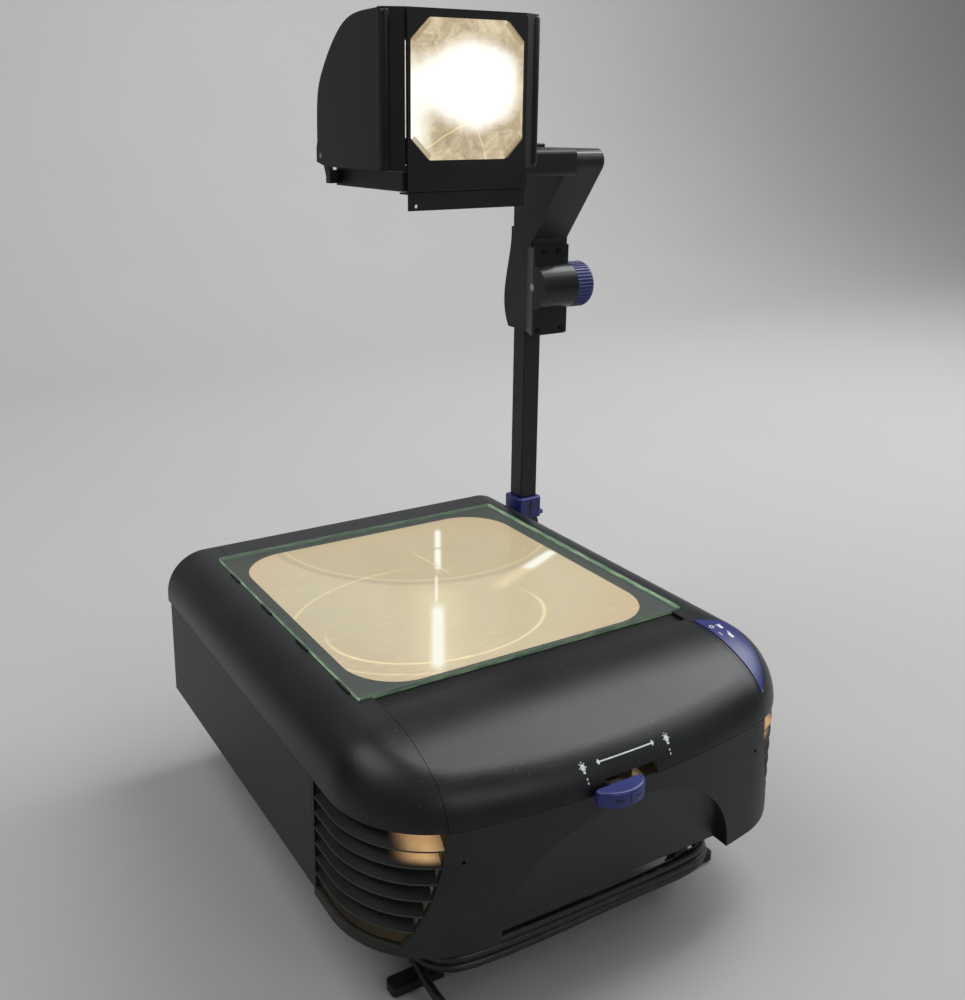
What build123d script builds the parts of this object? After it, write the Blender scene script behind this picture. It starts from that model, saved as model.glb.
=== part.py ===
"""Overhead projector: a casing with a lit glass stage, a fold-down mast, a focusing arm driven
by a friction roller, and a tilting mirror head.

Millimetres, +Z up.  The model is laid out about the centre of the stage at floor level and is
written out with its origin at the bottom centre of its own box.
"""
from build123d import *
from math import atan2, cos, degrees, pi, radians, sin, sqrt, tan
import os

os.makedirs("parts", exist_ok=True)

# ------------------------------------------------------------------ casing, driving dimensions
body_half_width = 198.0
body_rear = 176.0            # rear face of the lower casing
crown_rear = 183.0           # the top shell overhangs the lower casing at the rear
corner_radius = 78.0         # plan radius of the two front corners
corner_y = -186.0            # where the straight sides meet the front corners
bow_radius = 770.0           # plan radius of the bowed front
wall = 3.0
side_bottom = 80.0           # lower edge of the side and rear panels
bezel_bottom = 74.0          # lower edge of the front bezel
vent_joint_y = -158.0        # where the side panels give way to the bezel

# crown: the curved top of the casing
crown_height = 216.5
seam_height = crown_height - 46.0  # joint between the top shells and the lower casing
crown_radius = 38.0          # rounding from the top to the walls
slope_start_y = -178.0       # the front slope starts here
slope_blend_radius = 130.0
slope_angle = 22.0

# stage
stage_height = crown_height + 2.0  # top face of the stage glass
glass_width = 312.0
glass_depth = 302.0
glass_thickness = 4.0
aperture = 285.0             # lit square of the stage
aperture_corner = 47.0
mask_thickness = 0.8
lens_sheet = 3.0             # thickness of the moulded ring lens
frame_depth = 9.0            # height of the frame that carries the glass
cover_rear_y = -168.0        # front cover starts here, behind it lies the groove

# covers
cover_half_width = 145.0
panel_gap = 0.4              # between neighbouring covers
hinge_inset = 4.1            # hinge axis of the front cover, in from its rear edge and its top
hinge_ear_radius = 4.0
hinge_ear_length = 8.0
hinge_boss_length = 4.3
hinge_pin_radius = 1.6
running_gap = 0.05           # radial clearance of turning fits
fit_gap = 0.3                # between pieces that don't touch

# vents
vent_top_half = body_half_width - 52.0  # from the middle to the vent's front edge, at the seam
vent_low_half = body_half_width - 26.0  # the same at the bottom of the vent
vent_bottom = 82.0
vent_count = 7               # openings, one more than the blades
blade_thickness = 1.8
blade_rise = 9.0             # the blades slope, so this is their height and their depth
blade_lip = 1.3

# front bezel recess
arch_half_width = 106.0
arch_height = 81.0
arch_base = 76.0
recess_depth = 27.0

# casing screws
bezel_screw_x = body_half_width - 63.5
bezel_screw_z = seam_height - 24.0
bezel_screw_radius = 1.5
base_screw_radius = 2.0
base_screw_length = 4.5

# lamp changer
slider_travel = 33.0
slider_x = -16.5
slider_width = 42.0
slider_height = 11.0
slider_reach = 13.0
stem_width = 10.0
slider_back_y = -278.0
slot_height = 8.0
lamp_height = 132.0
lamp_y = -205.0
lamp_radius = 6.5
pin_offset = 3.5             # the lamp's two pins, either side of its middle

# power rocker, a leaf-shaped bar let into the right-hand rail
rocker_rear_y = -173.0
rocker_tip_y = -252.0
rocker_inner_x = cover_half_width + 3.0
rocker_outer_x = body_half_width - 26.0
rocker_proud = 0.8
rocker_drop = 4.0            # how far its tip may go down

# feet and cord
foot_x = 122.0
front_foot_y = -199.0
rear_foot_y = 128.0
leg_width = 14.0
leg_depth = 10.0
pad_thickness = 2.0
tab_thickness = 7.0
tab_reach = 158.0
cord_diameter = 7.2

# mast
mast_x = body_half_width + 16.0
mast_y = 168.0
mast_size = 21.0
mast_wall = 1.5
mast_top = 600.0
mast_foot_length = 34.0
mast_cap_height = 4.0
pivot_height = 179.5
pivot_radius = 4.0
cheek_radius = 9.5
cheek_thickness = 4.2
bracket_bottom = 112.0
collar_wall = 4.2
collar_height = 24.0
collar_tab = 9.0

# arm
housing_low = 407.5
housing_high = 503.0
housing_wall = 4.0
housing_rear = 192.0
housing_front = 121.0
arm_inner_x = mast_x - 28.0
bush_wall = 1.75
bush_length = 18.0
drive_height = 459.0         # focusing drive: a roller on the knob shaft turns an idler wheel
drive_y = 122.5
drive_radius = 10.0
drive_width = 12.0
shaft_radius = 4.0
bulge_radius = 24.0
cover_plate = 3.0
cover_screw_radius = 1.5
cover_screw_length = 8.0
knob_radius = 24.0
knob_length = 21.0
rib_count = 40
axle_radius = 2.5
leg_lean = 0.742             # forward reach of the arm's leg per unit of rise
arm_top = 600.0
arm_wall = 3.0
nose_radius = 12.0           # round top front corner of the arm
bar_end = 73.0               # where the bar meets the head
bar_height = 25.0
bar_front = 60.0
bar_rear = 88.0

# head
head_half_width = 71.0
head_front = -43.5
frame_low = 573.0
frame_high = 588.0
hood_low = 589.0
hood_top = 709.5
wing_back_y = -37.8
arm_low_z = 576.0
hood_pivot_y = 79.0
hood_pivot_z = 598.0
hood_wall = 2.4
window_half_width = 52.3
window_low = 596.5
window_high = 702.7
window_cut = 17.0            # corner cut of the window glass
window_frame_half = 55.0
lens_radius = 46.0
mirror_thickness = 3.0

pieces = []


def finish(piece, name):
    """Label a finished piece and keep it for export."""
    piece.part.label = name
    pieces.append(piece.part)


def screw_holes(radius, length, planes):
    """Round bores along the reverse of each plane's normal, for the shanks of a screw group."""
    with BuildPart() as bores:
        for plane in planes:
            with BuildSketch(plane):
                Circle(radius)
            extrude(amount=-length)
    return bores.part


def screw_group(radius, length, head_radius, head_height, planes):
    """Identical cross-recessed screws, each driven in along the reverse of its plane's normal."""
    with BuildPart() as screws:
        add(screw_holes(radius, length, planes))
        for plane in planes:
            with BuildSketch(plane):
                Circle(head_radius)
            extrude(amount=head_height)
            with BuildSketch(plane.offset(head_height)):
                Rectangle(head_radius * 1.2, head_radius * 0.3)
                Rectangle(head_radius * 0.3, head_radius * 1.2)
            extrude(amount=-head_height * 0.6, mode=Mode.SUBTRACT)
    return screws.part


# ------------------------------------------------------------------ casing envelope
def casing_outline(inset, rear):
    """The casing seen from above, drawn in by inset: straight sides, round corners, bowed front."""
    half = body_half_width - inset
    corner_x = body_half_width - corner_radius
    bow_y = corner_y + sqrt((bow_radius - corner_radius) ** 2 - corner_x**2)
    turn = degrees(atan2(bow_y - corner_y, corner_x))
    with BuildSketch() as outline:
        with BuildLine():
            Line((-half, rear - inset), (-half, corner_y))
            CenterArc((-corner_x, corner_y), corner_radius - inset, 180, turn)
            CenterArc((0, bow_y), bow_radius - inset, 180 + turn, 180 - 2 * turn)
            CenterArc((corner_x, corner_y), corner_radius - inset, 360 - turn, turn)
            Line((half, corner_y), (half, rear - inset))
            Line((half, rear - inset), (-half, rear - inset))
        make_face()
    return outline.sketch


def crown_profile(inset, low):
    """Side view of the crown: flat, then a blend into the front slope."""
    top = crown_height - inset
    blend = slope_blend_radius - inset
    slope = radians(slope_angle)
    end_y = slope_start_y - blend * sin(slope)
    end_z = top - blend * (1 - cos(slope))
    far = 110.0
    with BuildSketch() as profile:
        with BuildLine():
            Line((crown_rear - inset, low), (crown_rear - inset, top))
            Line((crown_rear - inset, top), (slope_start_y, top))
            CenterArc((slope_start_y, top - blend), blend, 90, slope_angle)
            Line((end_y, end_z), (end_y - far, end_z - far * tan(slope)))
            Line((end_y - far, end_z - far * tan(slope)), (end_y - far, low))
            Line((end_y - far, low), (crown_rear - inset, low))
        make_face()
    return profile.sketch


def crown_solid(inset, low):
    """The crown as a full solid down to low, its skin drawn in by inset."""
    with BuildPart() as crown:
        with BuildSketch(Plane.XY.offset(low)):
            add(casing_outline(inset, crown_rear))
        extrude(amount=crown_height - low)
        with BuildSketch(Plane.YZ):
            add(crown_profile(inset, low))
        extrude(amount=body_half_width + 10, both=True, mode=Mode.INTERSECT)
        edges = crown.edges().filter_by(Axis.X, reverse=True).filter_by(Axis.Z, reverse=True)
        rim = edges.filter_by_position(Axis.Z, low + 2, crown_height + 1)
        fillet(rim, crown_radius - inset)
    return crown.part


with BuildPart() as crown_shell:
    add(crown_solid(0, seam_height))
    add(crown_solid(wall, seam_height - 1), mode=Mode.SUBTRACT)


# ------------------------------------------------------------------ top shells
glass_half_x = glass_width / 2
glass_half_y = glass_depth / 2
hinge_y = cover_rear_y - panel_gap - hinge_inset
hinge_z = crown_height - hinge_inset
strip_front = hinge_y + sqrt(2) * hinge_inset + panel_gap


def box_between(low, high, mode=Mode.ADD):
    """A box given by two opposite corners, for use inside a part block."""
    size = [high[i] - low[i] for i in range(3)]
    middle = [(high[i] + low[i]) / 2 for i in range(3)]
    with Locations(tuple(middle)):
        Box(*size, mode=mode)


def rocker_leaf(shrink):
    """The power rocker seen from above: a leaf between the cover seam and the round corner."""
    middle_y = (rocker_rear_y + rocker_tip_y) / 2
    with BuildSketch() as leaf:
        with BuildLine():
            rear_inner = (rocker_inner_x, rocker_rear_y)
            rear_outer = (rocker_outer_x, rocker_rear_y - 13)
            tip_outer = (rocker_inner_x + 2, rocker_tip_y)
            tip_inner = (rocker_inner_x - 1, rocker_tip_y)
            Line(rear_inner, rear_outer)
            ThreePointArc(rear_outer, (rocker_outer_x - 3, middle_y - 14), tip_outer)
            Line(tip_outer, tip_inner)
            ThreePointArc(tip_inner, (rocker_inner_x - 0.2, middle_y), rear_inner)
        make_face()
        if shrink:
            offset(amount=-shrink, mode=Mode.REPLACE)
    return leaf.sketch


with BuildPart() as left_top_rail:
    add(crown_shell.part)
    box_between(
        (-body_half_width - 1, -400, seam_height),
        (-cover_half_width, crown_rear + 1, crown_height + 1),
        mode=Mode.INTERSECT,
    )
    box_between(
        (-glass_half_x - panel_gap, -glass_half_y - panel_gap, seam_height - 1),
        (0, glass_half_y + panel_gap, crown_height + 1),
        mode=Mode.SUBTRACT,
    )
    with BuildSketch(Plane.YZ.offset(-cover_half_width - hinge_boss_length)):
        with Locations((hinge_y, hinge_z)):
            Circle(hinge_ear_radius)
            Circle(hinge_pin_radius, mode=Mode.SUBTRACT)
    extrude(amount=hinge_boss_length)
    with Locations((-cover_half_width - hinge_boss_length / 2, hinge_y, hinge_z)):
        Cylinder(hinge_pin_radius, hinge_boss_length, rotation=(0, 90, 0), mode=Mode.SUBTRACT)
plain_rail = left_top_rail.part

with BuildPart() as left_top_rail:
    add(plain_rail)
    tab_x = -glass_half_x - panel_gap - 0.9
    for tab_y in (-128.0, -52.0, 24.0, 100.0):
        with Locations((tab_x, tab_y, crown_height)):
            Box(1.8, 22.0, 2.4)
finish(left_top_rail, "left_top_rail")

with BuildPart() as right_top_rail:
    mirror(plain_rail, about=Plane.YZ)
    with BuildSketch(Plane.XY.offset(seam_height + 4)):
        add(rocker_leaf(0))
    extrude(amount=crown_height, mode=Mode.SUBTRACT)
finish(right_top_rail, "right_top_rail")

with BuildPart() as rear_cover:
    add(crown_shell.part)
    box_between(
        (-cover_half_width + panel_gap, glass_half_y + panel_gap, seam_height),
        (cover_half_width - panel_gap, crown_rear + 1, crown_height + 1),
        mode=Mode.INTERSECT,
    )
finish(rear_cover, "rear_cover")

slot_low_x = slider_x - stem_width / 2 - 1.5
slot_high_x = slider_x + slider_travel + stem_width / 2 + 1.5

with BuildPart() as front_cover:
    add(crown_shell.part)
    box_between(
        (-cover_half_width + panel_gap, -400, seam_height),
        (cover_half_width - panel_gap, cover_rear_y - panel_gap, crown_height + 1),
        mode=Mode.INTERSECT,
    )
    ear_middle = cover_half_width - panel_gap - hinge_ear_length / 2
    with Locations((-ear_middle, hinge_y, hinge_z), (ear_middle, hinge_y, hinge_z)):
        Cylinder(hinge_ear_radius, hinge_ear_length, rotation=(0, 90, 0))
        bore = hinge_pin_radius + running_gap
        Cylinder(bore, hinge_ear_length, rotation=(0, 90, 0), mode=Mode.SUBTRACT)
    box_between(
        (slot_low_x, -400, seam_height - 1),
        (slot_high_x, corner_y, seam_height + slot_height),
        mode=Mode.SUBTRACT,
    )
finish(front_cover, "front_cover")

with BuildPart() as cover_hinge_pins:
    pin_length = hinge_ear_length + panel_gap + hinge_boss_length
    pin_middle = cover_half_width + hinge_boss_length - pin_length / 2
    with Locations((-pin_middle, hinge_y, hinge_z), (pin_middle, hinge_y, hinge_z)):
        Cylinder(hinge_pin_radius, pin_length, rotation=(0, 90, 0))
finish(cover_hinge_pins, "cover_hinge_pins")


# ------------------------------------------------------------------ lower casing
def recess_solid(grow):
    """The arched hollow in the bezel: an ellipse seen from the front, dished backwards going down."""
    front_y = sqrt((bow_radius - corner_radius) ** 2 - (body_half_width - corner_radius) ** 2)
    front_y = corner_y + front_y - bow_radius
    with BuildPart() as recess:
        with BuildSketch(Plane.XZ.offset(-front_y - 60)):
            with Locations((0, arch_base)):
                Ellipse(arch_half_width + grow, arch_height + grow)
        extrude(amount=100)
        with BuildSketch(Plane.YZ):
            with BuildLine():
                top = arch_base + arch_height + grow
                low = bezel_bottom - 20
                depth = recess_depth + grow
                Polyline(
                    (front_y + grow, top), (front_y + depth, low), (front_y - 50, low),
                    (front_y - 50, top), (front_y + grow, top),
                )
            make_face()
        extrude(amount=body_half_width, both=True, mode=Mode.INTERSECT)
    return recess.part


def vent_window(shrink):
    """Left corner vent seen from the front: a curved front edge, open to the side."""
    with BuildSketch() as window:
        with BuildLine():
            top = seam_height + 1
            low = vent_bottom + shrink
            start = (-vent_top_half - shrink, top)
            corner = (-vent_low_half - shrink, low)
            middle_x = -(vent_top_half + vent_low_half) / 2 + 6.5 - shrink
            ThreePointArc(start, (middle_x, (top + low) / 2), corner)
            far = -body_half_width - 5
            Polyline(corner, (far, low), (far, top), start)
        make_face()
    return window.sketch


vent_rear_y = vent_joint_y - wall

with BuildPart() as bezel_hollow:
    with BuildSketch(Plane.XY.offset(bezel_bottom - 1)):
        add(casing_outline(wall, body_rear))
    extrude(amount=seam_height - bezel_bottom + 5)
    add(recess_solid(wall), mode=Mode.SUBTRACT)

with BuildPart() as front_bezel:
    with BuildSketch(Plane.XY.offset(bezel_bottom)):
        add(casing_outline(0, body_rear))
    extrude(amount=seam_height - panel_gap - bezel_bottom)
    box_between((-300, -400, 0), (300, vent_joint_y, 300), mode=Mode.INTERSECT)
    add(recess_solid(0), mode=Mode.SUBTRACT)
    add(bezel_hollow.part, mode=Mode.SUBTRACT)
    with BuildSketch(Plane.XZ.offset(-vent_rear_y)) as openings:
        add(vent_window(0))
        mirror(about=Plane.YZ)
    extrude(amount=200, mode=Mode.SUBTRACT)
    with Locations(
        Plane.XZ.offset(300).shift_origin((-bezel_screw_x, -300, bezel_screw_z)),
        Plane.XZ.offset(300).shift_origin((bezel_screw_x, -300, bezel_screw_z)),
    ):
        Hole(bezel_screw_radius + running_gap, depth=60)
finish(front_bezel, "front_bezel")

tray_height = side_bottom
tray_inset = wall + panel_gap
blade_pitch = (seam_height - vent_bottom) / vent_count

with BuildPart() as sloping_blade:
    with BuildSketch():
        add(casing_outline(fit_gap, body_rear))
    extrude(amount=blade_rise, taper=45)
    with BuildSketch(Plane.XY.offset(-blade_lip)):
        add(casing_outline(fit_gap, body_rear))
    extrude(amount=blade_lip)
    with BuildSketch(Plane.XY.offset(-blade_lip - 1)):
        add(casing_outline(fit_gap + blade_thickness, body_rear))
    extrude(amount=blade_lip + 1, mode=Mode.SUBTRACT)
    with BuildSketch():
        add(casing_outline(fit_gap + blade_thickness, body_rear))
    extrude(amount=blade_rise + 1, taper=45, mode=Mode.SUBTRACT)

with BuildPart() as left_vent_louvres:
    for blade in range(1, vent_count):
        with Locations((0, 0, vent_bottom + blade * blade_pitch)):
            add(sloping_blade.part)
    for rib_angle in (188, 222, 252):
        rib_reach = corner_radius - blade_rise - blade_thickness
        rib_x = -(body_half_width - corner_radius) + rib_reach * cos(radians(rib_angle))
        rib_y = corner_y + rib_reach * sin(radians(rib_angle))
        rib_height = (vent_count - 2) * blade_pitch + blade_rise
        with Locations((rib_x, rib_y, (vent_bottom + seam_height + blade_rise) / 2)):
            Box(5, 5, rib_height, rotation=(0, 0, rib_angle))
    with BuildSketch(Plane.XZ.offset(-vent_rear_y + fit_gap)):
        add(vent_window(fit_gap))
    extrude(amount=200, mode=Mode.INTERSECT)
finish(left_vent_louvres, "left_vent_louvres")

with BuildPart() as right_vent_louvres:
    mirror(left_vent_louvres.part, about=Plane.YZ)
finish(right_vent_louvres, "right_vent_louvres")

panel_top = seam_height - panel_gap

with BuildPart() as left_side_panel:
    box_between(
        (-body_half_width, vent_joint_y + panel_gap, side_bottom),
        (-body_half_width + wall, body_rear, panel_top),
    )
    fillet(left_side_panel.edges().filter_by(Axis.Z).group_by(Axis.X)[0].group_by(Axis.Y)[-1], 2.0)
finish(left_side_panel, "left_side_panel")

with BuildPart() as right_side_panel:
    mirror(left_side_panel.part, about=Plane.YZ)
finish(right_side_panel, "right_side_panel")

fan_x = -95.0
fan_z = 126.0
fan_size = 80.0
fan_bore = 37.0
fan_depth = 25.0
fan_axle_radius = 2.0
motor_front = 10.0           # the motor starts this far behind the fan's open face

with BuildPart() as rear_panel:
    box_between(
        (-body_half_width + wall, body_rear - wall, side_bottom),
        (body_half_width - wall, body_rear, panel_top),
    )
    with BuildSketch(Plane.XZ.offset(-body_rear)):
        with Locations((fan_x, fan_z)):
            with GridLocations(0, 9, 1, 8):
                SlotOverall(68, 4.5)
        with Locations((70, fan_z)):
            with GridLocations(0, 9, 1, 8):
                SlotOverall(90, 4.5)
    extrude(amount=wall, both=True, mode=Mode.SUBTRACT)
finish(rear_panel, "rear_panel")

base_screw_planes = [
    Plane(origin=(side * x, y, tray_height), z_dir=(0, 0, -1))
    for side in (-1, 1)
    for x, y in ((170, 150), (170, -60), (70, 150))
]

with BuildPart() as base_tray:
    with BuildSketch(Plane.XY.offset(tray_height)):
        add(casing_outline(tray_inset, body_rear))
    extrude(amount=wall)
    add(recess_solid(wall + panel_gap), mode=Mode.SUBTRACT)
    add(screw_holes(base_screw_radius, wall + 1, base_screw_planes), mode=Mode.SUBTRACT)
finish(base_tray, "base_tray")

# ------------------------------------------------------------------ stage
mask_top = stage_height - glass_thickness
frame_top = mask_top - mask_thickness
frame_half_x = glass_half_x - panel_gap - 0.1
frame_half_y = glass_half_y - panel_gap
lens_half = aperture / 2 + 4
light_half = aperture / 2 + 1

with BuildPart() as stage_frame:
    with BuildSketch(Plane.XY.offset(frame_top - frame_depth)):
        Rectangle(2 * frame_half_x, 2 * frame_half_y)
        with Locations((0, (strip_front - frame_half_y) / 2)):
            Rectangle(2 * (cover_half_width - panel_gap), -strip_front - frame_half_y)
        Rectangle(2 * light_half, 2 * light_half, mode=Mode.SUBTRACT)
    extrude(amount=frame_depth)
    with BuildSketch(Plane.XY.offset(frame_top)):
        Rectangle(2 * lens_half, 2 * lens_half)
    extrude(amount=-lens_sheet, mode=Mode.SUBTRACT)
finish(stage_frame, "stage_frame")

with BuildPart() as fresnel_lens:
    with BuildSketch(Plane.XY.offset(frame_top - lens_sheet)):
        Rectangle(2 * lens_half - fit_gap, 2 * lens_half - fit_gap)
    extrude(amount=lens_sheet)
finish(fresnel_lens, "fresnel_lens")

with BuildPart() as stage_mask:
    with BuildSketch(Plane.XY.offset(frame_top)):
        Rectangle(2 * frame_half_x, 2 * frame_half_y)
        RectangleRounded(aperture, aperture, aperture_corner, mode=Mode.SUBTRACT)
    extrude(amount=mask_thickness)
finish(stage_mask, "stage_mask")

with BuildPart() as stage_glass:
    with BuildSketch(Plane.XY.offset(mask_top)):
        RectangleRounded(glass_width, glass_depth, 3)
    extrude(amount=glass_thickness)
    chamfer(stage_glass.edges().group_by(Axis.Z)[-1], 0.5)
finish(stage_glass, "stage_glass")

# ------------------------------------------------------------------ optics and lamps in the base
tray_top = tray_height + wall
fold_low_y = -128.0
fold_length = 210.0
fold_width = 230.0
fold_thickness = 4.0
fold_lift = 8.0

fold_run = fold_length / sqrt(2)
fold_plane = Plane(
    origin=(0, fold_low_y + fold_run / 2, tray_top + fold_lift + fold_run / 2 * 0.62),
    x_dir=(1, 0, 0),
    z_dir=(0, -0.62, 1),
)

with BuildPart() as fold_mirror:
    with BuildSketch(fold_plane):
        Rectangle(fold_width, fold_length * 0.83)
    extrude(amount=fold_thickness)
finish(fold_mirror, "fold_mirror")

with BuildPart() as fold_mirror_bracket:
    with BuildSketch(fold_plane):
        Rectangle(fold_width - 20, fold_length * 0.75)
        Rectangle(fold_width - 70, fold_length * 0.5, mode=Mode.SUBTRACT)
    extrude(amount=-2.0)
    for side in (-1, 1):
        with Locations((side * (fold_width / 2 - 16), fold_low_y + fold_run * 0.84, 0)):
            Box(6, 30, 2 * (tray_top + 69), mode=Mode.ADD)
    with BuildSketch(Plane.XY.offset(-200)):
        Rectangle(600, 600)
    extrude(amount=200 + tray_top, mode=Mode.SUBTRACT)
    with BuildSketch(fold_plane):
        Rectangle(fold_width + 40, fold_length * 2)
    extrude(amount=200, mode=Mode.SUBTRACT)
finish(fold_mirror_bracket, "fold_mirror_bracket")


def dome_height(radius, sag, reach):
    """Height of a lens dome of the given rim radius and sag, at a distance from its axis."""
    sphere = (radius**2 + sag**2) / (2 * sag)
    return sqrt(sphere**2 - reach**2) - sphere + sag


condenser_y = -168.0
condenser_radius = 34.0
condenser_sag = 9.0
condenser_edge = 3.0

with BuildPart() as condenser_lens:
    with BuildSketch(Plane.YZ):
        with BuildLine():
            foot_point = (condenser_y - condenser_edge, lamp_height)
            rim_front = (condenser_y - condenser_edge, lamp_height + condenser_radius)
            rim_back = (condenser_y, lamp_height + condenser_radius)
            apex = (condenser_y + condenser_sag, lamp_height)
            half_reach = condenser_radius / 2
            bulge = dome_height(condenser_radius, condenser_sag, half_reach)
            mid = (condenser_y + bulge, lamp_height + half_reach)
            Polyline(apex, foot_point, rim_front, rim_back)
            ThreePointArc(rim_back, mid, apex)
        make_face()
    lens_axis = Axis((0, condenser_y, lamp_height), (0, 1, 0))
    revolve(axis=lens_axis)
finish(condenser_lens, "condenser_lens")

carriage_low = tray_top + 8.0
carriage_width = 96.0
carriage_depth = 38.0
post_setback = 6.5           # the slider's post stands behind the reflector
rail_radius = 2.5
guide_y = (lamp_y - 13.0, lamp_y + 13.0)
guide_length = 164.0
lamp_gap = slider_travel

with BuildPart() as lamp_bracket:
    for side in (-1, 1):
        with Locations((side * guide_length / 2, lamp_y, tray_top + 10)):
            Box(4, carriage_depth + 4, 20)
    with Locations((0, guide_y[0], carriage_low + 5), (0, guide_y[1], carriage_low + 5)):
        Cylinder(rail_radius, guide_length, rotation=(0, 90, 0))
    plate_top = lamp_height + condenser_radius + 5
    with BuildSketch(Plane.XZ.offset(-condenser_y + condenser_edge)):
        with Locations((0, (plate_top + tray_top) / 2)):
            Rectangle(2 * condenser_radius + 16, plate_top - tray_top)
        with Locations((0, lamp_height)):
            Circle(condenser_radius - 3, mode=Mode.SUBTRACT)
    extrude(amount=2.0)
    box_between(
        (-guide_length / 2 - 2, lamp_y + carriage_depth / 2, tray_top),
        (guide_length / 2 + 2, condenser_y - condenser_edge, tray_top + 2),
    )
finish(lamp_bracket, "lamp_bracket")

carriage_x = -slider_travel / 2

with BuildPart() as lamp_carriage:
    with Locations((carriage_x, lamp_y, carriage_low + 5)):
        Box(carriage_width, carriage_depth, 10)
    stem_top = seam_height + slot_height / 2
    post_y = lamp_y - carriage_depth / 2 - post_setback
    stem_low_x = slider_x - stem_width / 2
    stem_high_x = slider_x + stem_width / 2
    box_between((stem_low_x, post_y, carriage_low), (stem_high_x, lamp_y, carriage_low + 10))
    box_between((stem_low_x, post_y, carriage_low), (stem_high_x, post_y + 2.5, stem_top + 1.5))
    box_between((stem_low_x, slider_back_y, stem_top - 1.5), (stem_high_x, post_y, stem_top + 1.5))
    for rail_y in guide_y:
        with Locations((carriage_x, rail_y, carriage_low + 5)):
            Cylinder(rail_radius + running_gap, carriage_width, rotation=(0, 90, 0), mode=Mode.SUBTRACT)
finish(lamp_carriage, "lamp_carriage")


lamp_places = (0.0, -lamp_gap)
socket_top = carriage_low + 26

with BuildPart() as lamp_sockets:
    for x in lamp_places:
        with Locations((x, lamp_y, socket_top - 8)):
            Box(20, 14, 16)
        with Locations((x - pin_offset, lamp_y, socket_top - 4), (x + pin_offset, lamp_y, socket_top - 4)):
            Cylinder(1.0, 8, mode=Mode.SUBTRACT)
finish(lamp_sockets, "lamp_sockets")

with BuildPart() as lamps:
    for x in lamp_places:
        with Locations((x, lamp_y, lamp_height)):
            Cylinder(lamp_radius, 22)
        with Locations((x, lamp_y, lamp_height + 11)):
            Sphere(lamp_radius)
        pinch = lamp_height - 11 - socket_top
        with Locations((x, lamp_y, socket_top + pinch / 2)):
            Box(11, 4, pinch)
        with Locations((x - pin_offset, lamp_y, socket_top - 3.5), (x + pin_offset, lamp_y, socket_top - 3.5)):
            Cylinder(0.8, 7)
finish(lamps, "lamps")

slider_z = seam_height + slot_height / 2

with BuildPart() as lamp_slider:
    with BuildSketch(Plane.XY.offset(slider_z - slider_height / 2 - 2)):
        with Locations((slider_x, slider_back_y)):
            Ellipse(slider_width / 2, slider_reach)
            with Locations((0, slider_width / 2)):
                Rectangle(slider_width + 2, slider_width, mode=Mode.SUBTRACT)
    extrude(amount=slider_height)
    fillet(lamp_slider.edges().group_by(Axis.Z)[-1].filter_by(GeomType.LINE, reverse=True), 2.5)
finish(lamp_slider, "lamp_slider")

with BuildPart() as reflector:
    dish_y = lamp_y - 8.0
    with BuildSketch(Plane.YZ):
        with BuildLine():
            ThreePointArc((dish_y, lamp_height + 29), (dish_y - 8, lamp_height + 20), (dish_y - 13, lamp_height + 8))
            Line((dish_y - 13, lamp_height + 8), (dish_y - 14.2, lamp_height + 8))
            ThreePointArc(
                (dish_y - 14.2, lamp_height + 8), (dish_y - 9.2, lamp_height + 20.8), (dish_y, lamp_height + 30.4)
            )
            Line((dish_y, lamp_height + 30.4), (dish_y, lamp_height + 29))
        make_face()
    revolve(axis=Axis((0, dish_y, lamp_height), (0, 1, 0)))
finish(reflector, "reflector")

# ------------------------------------------------------------------ electrics
with BuildPart() as fan_housing:
    fan_front = body_rear - wall - fan_depth
    with BuildSketch(Plane.XZ.offset(-fan_front)):
        with Locations((fan_x, fan_z)):
            RectangleRounded(fan_size, fan_size, 5)
            Circle(fan_bore, mode=Mode.SUBTRACT)
    extrude(amount=-fan_depth)
    with Locations((fan_x, fan_front + fan_depth - 2, fan_z)):
        Box(2 * fan_bore + 2, 3, 5)
        Cylinder(15, 3, rotation=(90, 0, 0))
    with Locations((fan_x, fan_front + (motor_front + fan_depth - 3) / 2, fan_z)):
        Cylinder(12, fan_depth - 3 - motor_front, rotation=(90, 0, 0))
    with Locations((fan_x, fan_front + (1 + fan_depth - 3) / 2, fan_z)):
        Cylinder(fan_axle_radius, fan_depth - 4, rotation=(90, 0, 0))
finish(fan_housing, "fan_housing")

hub_middle = 4.8

with BuildPart() as fan_impeller:
    with Locations((fan_x, fan_front + hub_middle, fan_z)):
        Cylinder(15, 9, rotation=(90, 0, 0))
        Cylinder(fan_axle_radius + running_gap, 9, rotation=(90, 0, 0), mode=Mode.SUBTRACT)
    for blade in range(7):
        turn = 360 / 7 * blade
        plane = Plane(
            origin=(
                fan_x + 14 * cos(radians(turn)), fan_front + hub_middle, fan_z + 14 * sin(radians(turn))
            ),
            z_dir=(cos(radians(turn)), 0, sin(radians(turn))),
            x_dir=(0, 1, 0),
        )
        with BuildSketch(plane):
            Rectangle(9, 1.6, rotation=52)
        extrude(amount=fan_bore - 15.5)
finish(fan_impeller, "fan_impeller")

with BuildPart() as transformer:
    with Locations((120, 96, tray_top + 26)):
        Box(70, 44, 52)
    with Locations((120, 96, tray_top + 28)):
        Box(44, 68, 36)
    fillet(transformer.edges().filter_by(Axis.Z), 2)
finish(transformer, "transformer")

with BuildPart() as terminal_block:
    with Locations((150, 10, tray_top + 8)):
        Box(18, 60, 16)
        with GridLocations(0, 10, 1, 5):
            with Locations((0, 0, 8)):
                Cylinder(2.2, 6, mode=Mode.SUBTRACT)
finish(terminal_block, "terminal_block")

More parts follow.
